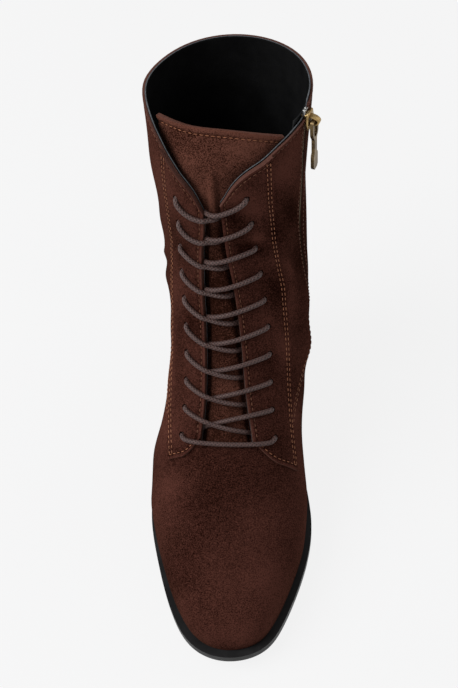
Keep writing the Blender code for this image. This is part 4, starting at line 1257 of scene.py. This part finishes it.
# Lace: one waxed round braid. It lies as a bar over the two lowest eyelets, and each half then
# goes up under one facing, out of the throat's edge, over to the next eyelet of the other side
# and in. Runs to the lateral eyelets lie on top. Both ends stop behind the top eyelets.
LACE_RADIUS = 0.00135
LACE_SIDES = 12
LACE_STEP = 0.0009
LACE_ROOM_OVER = 0.00005
LACE_ROOM_UNDER = 0.0001
LACE_OVER = FACING_LIFT + LACE_ROOM_OVER + LACE_RADIUS
LACE_UNDER = -(SUEDE_THICKNESS + LINING_GAP + LINING_THICKNESS + LACE_ROOM_UNDER + LACE_RADIUS)
LACE_FALL = {LATERAL: (0.96, 0.96), MEDIAL: (0.78, 0.66)}  # at the lowest and the top crossing
LACE_CURVE = {LATERAL: (2.3, 2.8), MEDIAL: (1.15, 2.0)}
EYELET_TURN = 0.55
CROSSING_TOP = 0.00175
CROSSING_LOW = -0.0010
CROSSING_POINTS = 201
CROSSING_STRIDE = 5
MEETING_ROOM = 4
EDGE_CLEAR = 0.0008
DIVE_START = 0.0040
DIVE_END = 0.0003
DIVE_ROOM = 2
DIVE_ENTRY = 0.5
UNDER_POINTS = 12
BEND = 0.0016
BAR_SAG_ROWS = 0.40
BAR_SAG_POWER = 0.45
BAR_LOW = 0.0016
BAR_SLOPE = (-0.0005, 0.0045)
BAR_POINTS = 81
BAR_STRIDE = 3


def lace_crossing(side, index):
    """Rows and distances of a run, from its eyelet to the far throat edge, at even steps."""
    row, start = eyelets[side][index]
    lower = eyelets[side][index - 1][0]
    t = np.linspace(0, 1, CROSSING_POINTS)
    up = (index - 1) / (EYELET_COUNT - 2)
    fall, curve = [low * (1 - up) + high * up for low, high in (LACE_FALL[side], LACE_CURVE[side])]
    rows = row - fall * (row - lower) * (1 - (1 - t) ** curve)
    return rows, start + (-side * throat_edge[-side](rows) - start) * t


def lace_through(row, hole):
    """Points of the lace through an eyelet, from behind the lining to the outside."""
    depths = (LACE_UNDER, LACE_UNDER / 2, 0.0, LACE_OVER * EYELET_TURN)
    return [skin_across(row, hole, depth) for depth in depths]


def lace_run(side, index):
    """Centre line from one eyelet over the throat and under the far facing to the eyelet below."""
    rows, across = lace_crossing(side, index)
    other = skin_across(*lace_crossing(-side, index))
    apart = np.linalg.norm(skin_across(rows, across)[:, None] - other[None], axis=2)
    meeting = int(np.unravel_index(np.argmin(apart), apart.shape)[0])
    leave = int(np.searchsorted(throat_edge[side](rows) - side * across, EDGE_CLEAR))
    left = throat_edge[-side](rows) + side * across
    dive, gone = [int(np.searchsorted(-left, -distance)) for distance in (DIVE_START, DIVE_END)]
    meeting = min(max(meeting, leave + MEETING_ROOM), gone - MEETING_ROOM)
    dive = min(max(dive, meeting + DIVE_ROOM), gone - DIVE_ROOM)
    middle = CROSSING_TOP if side == LATERAL else CROSSING_LOW
    entry = middle + (LACE_UNDER - middle) * (dive - meeting) / (gone - meeting) * DIVE_ENTRY
    knots = [0, leave, meeting, dive, gone]
    heights = [LACE_OVER, LACE_OVER, middle, entry, LACE_UNDER]
    offset = monotone_curve(knots, heights)(np.arange(len(rows)))
    crossing = skin_across(rows, across, offset)
    row, hole = eyelets[side][index]
    bend = int(np.searchsorted(np.abs(across - hole), BEND))
    next_row, next_hole = eyelets[-side][index - 1]
    t = np.linspace(0, 1, UNDER_POINTS)[1:-2]
    under = skin_across(rows[-1] + (next_row - rows[-1]) * t,
                        across[-1] + (next_hole - across[-1]) * t, LACE_UNDER)
    return np.concatenate([lace_through(row, hole), crossing[bend:gone:CROSSING_STRIDE], under])


def lace_bar():
    """Bar from the lowest lateral eyelet to the lowest medial one."""
    (first_row, start), (last_row, end) = [eyelets[side][0] for side in SIDES]
    t = np.linspace(0, 1, BAR_POINTS)
    rows = first_row + (last_row - first_row) * t - BAR_SAG_ROWS * np.sin(np.pi * t) ** BAR_SAG_POWER
    across = start + (end - start) * t
    low = smooth_step(by_side(throat_edge, across, rows) - np.abs(across), *BAR_SLOPE)
    line = skin_across(rows, across, LACE_OVER + (BAR_LOW - LACE_OVER) * low)
    bend = int(np.searchsorted(np.abs(across - start), BEND))
    return np.concatenate([lace_through(first_row, start), line[bend:-bend:BAR_STRIDE],
                           lace_through(last_row, end)[::-1]])


def lace_line():
    """The whole lace, from behind the top eyelet of one side to that of the other."""
    down = []
    up = []
    for index in range(EYELET_COUNT - 1, 0, -1):
        side = LATERAL if index % 2 else MEDIAL
        down.append(lace_run(side, index))
        up.append(lace_run(-side, index))
    return np.concatenate([*down, lace_bar()[::-1], *(run[::-1] for run in reversed(up))])


NEAREST = 2e-4
EASING_ROUNDS = 3


def smooth_line(points, step):
    """Even points along a line, its corners eased."""
    apart = np.linalg.norm(np.diff(points, axis=0), axis=1) > NEAREST
    points = points[np.concatenate([[True], apart])]
    for _ in range(EASING_ROUNDS):
        run = run_along(points)
        points = points_at(np.linspace(0, run[-1], int(run[-1] / step) + 1), run, points)
        points[1:-1] = points[1:-1] * 0.5 + (points[:-2] + points[2:]) * 0.25
    return points


def tube_object(name, line, radius, sides, material):
    """Round tube along a line with a UV map: turns round it and millimetres along it."""
    tangent = np.gradient(line, axis=0)
    tangent /= np.linalg.norm(tangent, axis=1, keepdims=True)
    across = np.zeros_like(line)
    across[0] = np.cross(tangent[0], (0.0, 0.0, 1.0))
    for i in range(1, len(line)):
        across[i] = across[i - 1] - tangent[i] * np.dot(across[i - 1], tangent[i])
    across /= np.linalg.norm(across, axis=1, keepdims=True)
    over = np.cross(tangent, across)
    angle = np.linspace(0, 2 * np.pi, sides + 1)
    ring = across[:, None] * np.cos(angle)[:, None] + over[:, None] * np.sin(angle)[:, None]
    bm = sheet_bmesh(line[:, None] + ring * radius)
    run = run_along(line)
    layer = bm.loops.layers.uv.new("length")
    bm.verts.ensure_lookup_table()
    bm.verts.index_update()
    for face in bm.faces:
        for loop in face.loops:
            down, turn = divmod(loop.vert.index, sides + 1)
            loop[layer].uv = (turn / sides, run[down] * 1000)
    weld(bm)
    bmesh.ops.holes_fill(bm, edges=bm.edges[:], sides=sides)
    return finish_piece(name, bm, [material], smooth_angle=60)


BRAID_STRANDS = 4
BRAID_PITCH = 2.0
STRAND_PAINTED_HIGHLIGHT_SHARE = 0.6
WEAR_SHARE = 0.5


def braid_material(name, dark, light):
    """Waxed braid: strands wound both ways round the lace, with a dull shine on their backs. Its colour is
    lighter on the strands' backs and darker between them: painted highlight and shade.
    """
    material, tree, shader, place = new_material(name, {
        "Roughness": 0.48, "Specular IOR Level": 0.25, "Coat Weight": 0.08, "Coat Roughness": 0.35})
    uv = tree.nodes.new("ShaderNodeUVMap")
    uv.uv_map = "length"
    parts = tree.nodes.new("ShaderNodeSeparateXYZ")
    tree.links.new(uv.outputs["UV"], parts.inputs["Vector"])
    turn = add_math(tree, "MULTIPLY", parts.outputs["X"], BRAID_STRANDS * 2 * math.pi)
    length = add_math(tree, "MULTIPLY", parts.outputs["Y"], 2 * math.pi / BRAID_PITCH)
    one, two = [add_math(tree, "SINE", add_math(tree, way, turn, length), 0.0)
                for way in ("ADD", "SUBTRACT")]
    strand = add_math(tree, "MULTIPLY_ADD", add_math(tree, "MAXIMUM", one, two), 0.5)
    strand.node.inputs[2].default_value = 0.5
    worn = add_math(tree, "MULTIPLY", add_noise(tree, place, scale=400.0), WEAR_SHARE)
    # Strand crests lighter and the hollows between them darker: painted highlight and shade, plus worn
    # patches.
    tone = add_math(tree, "ADD", add_math(tree, "MULTIPLY", strand, STRAND_PAINTED_HIGHLIGHT_SHARE), worn)
    add_ramp(tree, tone, [(0.2, dark), (0.95, light)], shader.inputs["Base Color"])
    add_bump(tree, shader, strand, strength=1.0, distance=0.0004)
    return material


lace_braid = braid_material("waxed_braid", dark=(0.0090, 0.0042, 0.0036), light=(0.0800, 0.0440, 0.0390))
lace = tube_object("lace_braid", smooth_line(lace_line(), LACE_STEP), LACE_RADIUS, LACE_SIDES, lace_braid)
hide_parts("lace_bar", *["lace_cross_%d" % index for index in range(1, EYELET_COUNT)])

# Zip: metal teeth on a brown woven tape behind a slit up the inner side, a brass slider with a
# bail, and a silver stop above it. The pull hangs from the bail and swings on it.
WALL = 0.0020
TAPE_GAP = 0.0009
TAPE_OFFSET = -(WALL + TAPE_GAP)
TAPE_THICKNESS = 0.0008
TAPE_WIDTH = 0.0180
TAPE_UP = 71
TAPE_ACROSS = 13
ZIP_END_ROW = 20.55
CHAIN_ROW = 12.65
CHAIN_LIFT = 0.0003
CHAIN_POINTS = 400
TOOTH_PITCH = 0.00135
TOOTH_LONG = 0.0024
TOOTH_TALL = 0.0009
TOOTH_DEEP = 0.0017
TOOTH_SIDEWAYS = 0.0007
CHAIN_TOP = TAPE_OFFSET + CHAIN_LIFT + TOOTH_DEEP


def metal_material(name, dark, light, roughness):
    """Plated metal, darker and brighter in patches where it is handled."""
    material, tree, shader, place = new_material(name, {"Metallic": 1.0, "Roughness": roughness})
    handled = add_noise(tree, place, scale=350.0, detail=4.0)
    add_ramp(tree, handled, [(0.3, dark), (0.75, light)], shader.inputs["Base Color"])
    scuffs = add_noise(tree, place, scale=1800.0, detail=2.0)
    add_bump(tree, shader, scuffs, strength=0.08, distance=0.0003)
    return material


def zip_across(row, distance):
    """Share of a distance from the zip's middle, backwards positive."""
    return zip_curve(row) + distance / girth(row, MEDIAL)


tape_weave = textile_material("zip_tape_weave", dark=0.010, light=0.022, thread=1100.0)
tape_rows = np.linspace(ZIP_FOOT_ROW, ZIP_END_ROW, TAPE_UP)[:, None]
tape_reach = np.linspace(-TAPE_WIDTH / 2, TAPE_WIDTH / 2, TAPE_ACROSS)
tape_bm = sheet_bmesh(skin(tape_rows, zip_across(tape_rows, tape_reach), TAPE_OFFSET))
tape = finish_piece("zip_tape_woven", tape_bm, [tape_weave])
add_wall(tape, TAPE_THICKNESS, inner=0, rim=0)
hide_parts("zip_tape")

OUT_STEP = 0.001
UP_STEP = 0.02


def frame_at(row, distance, offset):
    """Axes on the suede beside the zip: X outwards, Y backwards across the zip, Z up it."""
    share = float(zip_across(row, distance))
    here = Vector(skin(row, share, offset))
    out = (Vector(skin(row, share, offset + OUT_STEP)) - here).normalized()
    above = row + UP_STEP
    up = (Vector(skin(above, float(zip_across(above, distance)), offset)) - here).normalized()
    back = up.cross(out).normalized()
    turned = Matrix((out, back, out.cross(back))).transposed().to_4x4()
    return Matrix.Translation(here) @ turned


# Darker than the slider's brass: painted shade of the slit the teeth sit behind.
tooth_brass_painted_shade = metal_material(
    "tooth_brass_painted_shade", dark=(0.050, 0.032, 0.015), light=(0.180, 0.125, 0.060), roughness=0.45)
chain_rows = np.linspace(CHAIN_ROW, ZIP_END_ROW, CHAIN_POINTS)
chain_run = run_along(skin(chain_rows, zip_across(chain_rows, 0.0)))
tooth_rows = np.interp(np.arange(0, chain_run[-1], TOOTH_PITCH / 2), chain_run, chain_rows)
tooth_size = Matrix.Diagonal((TOOTH_DEEP, TOOTH_LONG, TOOTH_TALL, 1.0))
teeth_bm = bmesh.new()
for k, row in enumerate(tooth_rows):
    sideways = TOOTH_SIDEWAYS if k % 2 else -TOOTH_SIDEWAYS
    place = frame_at(float(row), sideways, CHAIN_TOP - TOOTH_DEEP / 2)
    bmesh.ops.create_cube(teeth_bm, size=1.0, matrix=place @ tooth_size)
teeth = finish_piece("zip_teeth", teeth_bm, [tooth_brass_painted_shade])
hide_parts("zip_chain")

SLIDER_ROW = 20.42
SLIDER_TURN = math.radians(-20)
SLIDER_LENGTH = 0.0100
SLIDER_HALVES = (0.72, 0.86, 0.95, 1.0, 1.0, 0.97, 0.90, 0.82, 0.78)  # shares of half the width, upwards
SLIDER_WIDTH = 0.0084
SLIDER_PLATE = 0.0015
SLIDER_LIFT = 0.0006
SLIDER_ROUND = 0.0005
SLIDER_TOP = SLIDER_LIFT + SLIDER_PLATE
NECK_WIDTH = 0.0042
NECK_LENGTH = 0.0064
NECK_LIFT = 0.0003
NECK_ROUND = 0.0003
NECK_RINGS = 5
BAIL_OPENING = 0.0038
BAIL_RISE = 0.0042
BAIL_BAND = 0.0011
BAIL_WIDTH = 0.0032
BAIL_ROOT = 0.0004
BAIL_ROUND = 0.00025
BAIL_STEPS = 24
PLATE_ACROSS = 9
CORNER_ANGLE = 0.9
slider_place = (Matrix.Translation(Vector(skin(SLIDER_ROW, zip_share(SLIDER_ROW))))
                @ Matrix.Rotation(SLIDER_TURN, 4, "Z"))


def grid_points(x, y, z):
    """Array of points from X, Y and Z, each spread over the whole grid."""
    return np.stack(np.broadcast_arrays(x, y, z), axis=-1)


def thicken(bm, axis, thickness):
    """Give a flat sheet its thickness, down one axis."""
    for vert in extrude(bm, bm.faces[:])[0]:
        vert.co[axis] -= thickness
    face_outwards(bm)


def round_edges(bm, width, segments):
    edges = [edge for edge in bm.edges if edge.calc_face_angle(0.0) > CORNER_ANGLE]
    bmesh.ops.bevel(bm, geom=edges, offset=width, offset_type="OFFSET", segments=segments, profile=0.5,
                    affect="EDGES", material=-1, clamp_overlap=True)


def rounded_plate(low, high, half_widths, length, rounding):
    """Plate between two distances from the suede, its half width running up a list."""
    across = np.linspace(-1, 1, PLATE_ACROSS) * np.array(half_widths)[:, None]
    up = (np.linspace(0, 1, len(half_widths)) - 0.5) * length
    bm = sheet_bmesh(grid_points(high, across, up[:, None]))
    thicken(bm, 0, high - low)
    round_edges(bm, rounding, segments=3)
    return bm


def join_into(bm, other, matrix):
    """Add another bmesh, moved by a matrix."""
    bmesh.ops.transform(other, matrix=matrix, verts=other.verts[:])
    holder = new_mesh("holder", other)
    bm.from_mesh(holder)
    bpy.data.meshes.remove(holder)


slider_halves = [SLIDER_WIDTH / 2 * share for share in SLIDER_HALVES]
plate_bm = rounded_plate(SLIDER_LIFT, SLIDER_TOP, slider_halves, SLIDER_LENGTH, SLIDER_ROUND)
neck_bm = rounded_plate(
    CHAIN_TOP + NECK_LIFT, SLIDER_LIFT + BAIL_ROOT, [NECK_WIDTH / 2] * NECK_RINGS, NECK_LENGTH, NECK_ROUND)
bail_turn = np.linspace(0, np.pi, BAIL_STEPS + 1)[:, None]
bail_band = np.array((0.0, BAIL_BAND))
bail_bm = sheet_bmesh(grid_points(
    SLIDER_TOP - BAIL_ROOT + (BAIL_RISE + bail_band) * np.sin(bail_turn), BAIL_WIDTH / 2,
    -(BAIL_OPENING / 2 + bail_band) * np.cos(bail_turn)))
thicken(bail_bm, 1, BAIL_WIDTH)
round_edges(bail_bm, BAIL_ROUND, segments=2)
slider_bm = bmesh.new()
for part_bm in (plate_bm, neck_bm, bail_bm):
    join_into(slider_bm, part_bm, slider_place)
brass = metal_material("antique_brass", dark=(0.20, 0.125, 0.05), light=(0.55, 0.39, 0.17), roughness=0.34)
slider = finish_piece("zip_slider_body", slider_bm, [brass])
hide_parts("zip_slider")

STOP_ROW = 20.62
STOP_SIDEWAYS = 0.0012
STOP_LOW = 0.0012
STOP_HIGH = 0.0004
STOP_HALF = 0.0009
STOP_LENGTH = 0.0034
STOP_ROUND = 0.0003
STOP_RINGS = 4
stop_bm = bmesh.new()
for sideways in (-STOP_SIDEWAYS, STOP_SIDEWAYS):
    half_bm = rounded_plate(
        CHAIN_TOP - STOP_LOW, CHAIN_TOP + STOP_HIGH, [STOP_HALF] * STOP_RINGS, STOP_LENGTH, STOP_ROUND)
    join_into(stop_bm, half_bm, frame_at(STOP_ROW, sideways, 0.0))
silver = metal_material("stop_silver", dark=(0.35, 0.35, 0.34), light=(0.62, 0.62, 0.60), roughness=0.30)
stop = finish_piece("zip_top_stop", stop_bm, [silver])

HINGE_LIFT = 0.0017
PULL_THICKNESS = 0.0018
PULL_STEPS = 41
PULL_HOLE = (0.0007, 0.0094)
PULL_PROFILE = (  # distance down from the hinge, half width, half width of the strip or hole
    (-0.0007, 0.0020, 0.0017),
    (0.0001, 0.0032, 0.0018),
    (0.0007, 0.0035, 0.0019),
    (0.0030, 0.0037, 0.0021),
    (0.0068, 0.0036, 0.0021),
    (0.0086, 0.0032, 0.0017),
    (0.0094, 0.0027, 0.0009),
    (0.0118, 0.0016, 0.0006),
    (0.0195, 0.0016, 0.0006),
    (0.0208, 0.0025, 0.0009),
    (0.0220, 0.0028, 0.0010),
    (0.0284, 0.0028, 0.0010),
    (0.0303, 0.0017, 0.0006),
)
pull_knots = [down for down, _, _ in PULL_PROFILE]
pull_downs = np.unique(np.concatenate([pull_knots, np.linspace(pull_knots[0], pull_knots[-1], PULL_STEPS)]))
pull_outer, pull_inner = [curve(pull_downs) for curve in columns(PULL_PROFILE, monotone_curve)]
pull_across = np.stack([-pull_outer, -pull_inner, pull_inner, pull_outer], axis=1)
pull_middles = (pull_downs[1:] + pull_downs[:-1]) / 2
pull_hole = np.zeros((len(pull_middles), 3), bool)
pull_hole[:, 1] = (pull_middles > PULL_HOLE[0]) & (pull_middles < PULL_HOLE[1])
pull_bm = sheet_bmesh(grid_points(PULL_THICKNESS / 2, pull_across, -pull_downs[:, None]), pull_hole)
thicken(pull_bm, 0, PULL_THICKNESS)
hinge_place = slider_place @ Matrix.Translation((SLIDER_TOP + HINGE_LIFT, 0.0, 0.0))
bmesh.ops.transform(pull_bm, matrix=hinge_place, verts=pull_bm.verts[:])
pull_brass = metal_material(
    "pull_brass", dark=(0.07, 0.047, 0.024), light=(0.26, 0.185, 0.090), roughness=0.38)
pull = finish_piece("zip_pull_tab", pull_bm, [pull_brass], body="pull")
add_bevel(pull, width=0.00045, segments=3, angle=40)
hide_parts("zip_pull")

# Stitching: rows of waxed orange-brown thread, sunk into the suede along every edge that is
# sewn: facings, tabs, side seams, collar, tongue, zip and back seam. The thread beside the
# throat, the collar and the zip is darker.
STITCH_PITCH = 0.0029
STITCH_LENGTH = 0.0022
STITCH_THICKNESS = 0.00052
STITCH_SEAT = 0.00012
SEAM_THREAD = 0
EDGE_THREAD = 1
stitch_size = Matrix.Diagonal((STITCH_LENGTH / 2, STITCH_THICKNESS / 2, STITCH_THICKNESS / 2, 1.0))
stitch_bm = bmesh.new()


def sew(points, thread):
    """Row of stitches along a line of points on the surface."""
    run = run_along(points)
    count = max(1, int(run[-1] / STITCH_PITCH))
    for k in range(count):
        middle = (k + 0.5) * run[-1] / count
        stops = (middle - STITCH_LENGTH / 2, middle + STITCH_LENGTH / 2)
        start, end = [Vector(point) for point in points_at(stops, run, points)]
        turn = (end - start).to_track_quat("X", "Z").to_matrix().to_4x4()
        place = Matrix.Translation((start + end) / 2) @ turn @ stitch_size
        made = bmesh.ops.create_icosphere(stitch_bm, subdivisions=1, radius=1.0, matrix=place)
        for face in {face for vert in made["verts"] for face in vert.link_faces}:
            face.material_index = thread


def on_suede(rows, share, lift=0.0):
    """Where thread lies on the upper, or on what is lifted from it."""
    return skin(rows, share, relief(rows, share) + lift + STITCH_SEAT)


TAB_STITCH_ROWS = 0.135
TAB_STITCH_SHARES = (0.12, 0.97)
EDGE_STITCH_START = TAB_ROUND_RISE + 0.1
SEAM_STITCH_START = 0.12
STITCH_END_ROWS = 0.15


def facing_stitches(side, start, share, count):
    """Rows up a facing, from a distance above its tab to a little below its top edge."""
    return np.linspace(TAB_ROW[side] + start, float(facing_top(share, side)) - STITCH_END_ROWS, count)


def sew_facing(rows, across, sunk, thread):
    sew(on_suede(rows, share_at(rows, across), FACING_LIFT - sunk), thread)


for side in SIDES:
    rows = facing_stitches(side, EDGE_STITCH_START, share=0.1, count=200)
    sew_facing(rows, side * (throat_edge[side](rows) + EDGE_INSET), EDGE_GROOVE, EDGE_THREAD)
    share = np.linspace(*TAB_STITCH_SHARES, 80)
    rows = facing_bottom(share, side) + TAB_STITCH_ROWS
    sew_facing(rows, facing_across(rows, share, side), EDGE_GROOVE, SEAM_THREAD)
    rows = facing_stitches(side, SEAM_STITCH_START, share=0.97, count=240)
    for inset in SEAM_INSETS:
        sew_facing(rows, side * (facing["seam", side](rows) - inset), SEAM_GROOVE, SEAM_THREAD)

COLLAR_STITCH_START = 1.7
COLLAR_STITCH_END = 0.995
for side in SIDES:
    first = facing_share(LAST_EYELET_ROW, "edge", side) * COLLAR_STITCH_START
    share = np.linspace(first, side * COLLAR_STITCH_END, 400)
    top = trimmed_row(float(LAST_ROW), share)
    rows = top - EDGE_INSET / row_length(top, share)
    on_facing = np.abs(across_at(rows, share)) < facing["seam", side](rows)
    sew(on_suede(rows, share, np.where(on_facing, FACING_LIFT, 0.0) - EDGE_GROOVE), EDGE_THREAD)

TONGUE_STITCH_SHARE = 0.96
share = np.linspace(-TONGUE_STITCH_SHARE, TONGUE_STITCH_SHARE, 160)
top = tongue_top(share)
rows = top - TONGUE_STITCH / row_length(top, share_at(top, tongue_across(top, share)))
sew(tongue_points(rows, share, STITCH_SEAT - EDGE_GROOVE), SEAM_THREAD)

ZIP_STITCH = 0.0022
ZIP_STITCH_ROWS = (ZIP_FOOT_ROW + 0.1, 20.35)
rows = np.linspace(*ZIP_STITCH_ROWS, 200)
for edge in (-1, 1):
    share = np.array([slit_share(row, edge) for row in rows]) + edge * ZIP_STITCH / girth(rows, MEDIAL)
    sew(on_suede(rows, share), EDGE_THREAD)

BACK_STITCH = 0.0022
BACK_STITCH_ROWS = (16.2, 20.9)
rows = np.linspace(*BACK_STITCH_ROWS, 200)
for side in SIDES:
    sew(on_suede(rows, side * (1 - BACK_STITCH / girth(rows, side))), SEAM_THREAD)

SIDE_SEAM_HALF = 0.0010
SIDE_SEAMS = (  # section row and distance across, from the facing back along the side
    ((8.9, -0.0385), (9.6, -0.0450), (10.3, -0.0540), (11.1, -0.0660),
     (12.0, -0.0800), (12.8, -0.0950), (13.5, -0.1130), (14.1, -0.1415)),
    ((8.9, 0.0430), (9.5, 0.0470), (10.15, 0.0550), (10.8, 0.0640), (11.5, 0.0720), (12.1, 0.0755)),
)
for knots in SIDE_SEAMS:
    rows = np.linspace(knots[0][0], knots[-1][0], 160)
    line = columns(knots, natural_spline)[0](rows)
    length = row_length(rows, share_at(rows, line))
    climb = np.gradient(rows) * length
    sweep = np.gradient(line)
    step = np.hypot(climb, sweep)
    for shift in (-SIDE_SEAM_HALF, SIDE_SEAM_HALF):
        beside = rows - shift * sweep / step / length
        sew(on_suede(beside, share_at(beside, line + shift * climb / step)), SEAM_THREAD)

THREAD = {"Roughness": 0.6, "Specular IOR Level": 0.2}
seam_thread = speckled_material(
    "seam_thread", THREAD, scale=700.0, dark=(0.150, 0.055, 0.027), light=(0.340, 0.138, 0.070))
edge_thread = speckled_material(
    "edge_thread", THREAD, scale=700.0, dark=(0.070, 0.027, 0.014), light=(0.170, 0.070, 0.038))
stitches = finish_piece("seam_stitches", stitch_bm, [seam_thread, edge_thread])

# Stage: pale floor lit evenly from below like a light table, soft light all round, a large soft
# light from the upper left, a weak one opposite, and the camera high in front of the toe.
FLOOR_SIZE = 6.0
WHITE = (1.0, 1.0, 1.0, 1.0)
floor_bm = bmesh.new()
bmesh.ops.create_grid(floor_bm, x_segments=1, y_segments=1, size=FLOOR_SIZE)
floor_mesh = new_mesh("pale_floor", floor_bm)
floor_settings = {
    "Roughness": 0.9, "Specular IOR Level": 0.0, "Emission Color": WHITE, "Emission Strength": 0.855}
floor_mesh.materials.append(
    speckled_material("pale_floor", floor_settings, scale=2.0, dark=grey(0.045), light=grey(0.055)))
floor = new_object("pale_floor", floor_mesh)

studio = bpy.data.worlds.new("studio")
studio.use_nodes = True
studio_light = studio.node_tree.nodes["Background"]
studio_light.inputs["Color"].default_value = WHITE
studio_light.inputs["Strength"].default_value = 0.45
bpy.context.scene.world = studio
LIGHTS = (  # name, size of the disk, power, place
    ("key_light", 1.5, 42.0, (-1.17, -0.45, 1.40)),
    ("fill_light", 1.2, 4.0, (1.05, 0.60, 0.80)),
)
LIGHT_AIM = Vector((0.0, 0.0, 0.1))
for name, size, power, place in LIGHTS:
    lamp_data = bpy.data.lights.new(name, "AREA")
    lamp_data.shape = "DISK"
    lamp_data.size = size
    lamp_data.energy = power
    lamp = new_object(name, lamp_data)
    lamp.location = place
    lamp.rotation_euler = (LIGHT_AIM - lamp.location).to_track_quat("-Z", "Y").to_euler()

CAMERA_PLACE = Vector((0.0532, -0.3761, 0.559))
PHOTO_AIM = Vector((0.0450, 0.0452, 0.0))
BOOT_AIM = Vector((0.0007, 0.0091, 0.110))
camera_data = bpy.data.cameras.new("photo_camera")
camera_data.lens = 57.6
camera_data.sensor_width = 36.0
camera_data.clip_start = 0.01
camera = new_object("photo_camera", camera_data)
camera.location = CAMERA_PLACE
photo_view = PHOTO_AIM - CAMERA_PLACE
boot_view = BOOT_AIM - CAMERA_PLACE
turned_view = photo_view.rotation_difference(boot_view) @ photo_view.to_track_quat("-Z", "Y")
camera.rotation_euler = turned_view.to_euler()
bpy.context.scene.camera = camera
bpy.context.scene.view_settings.view_transform = "Standard"
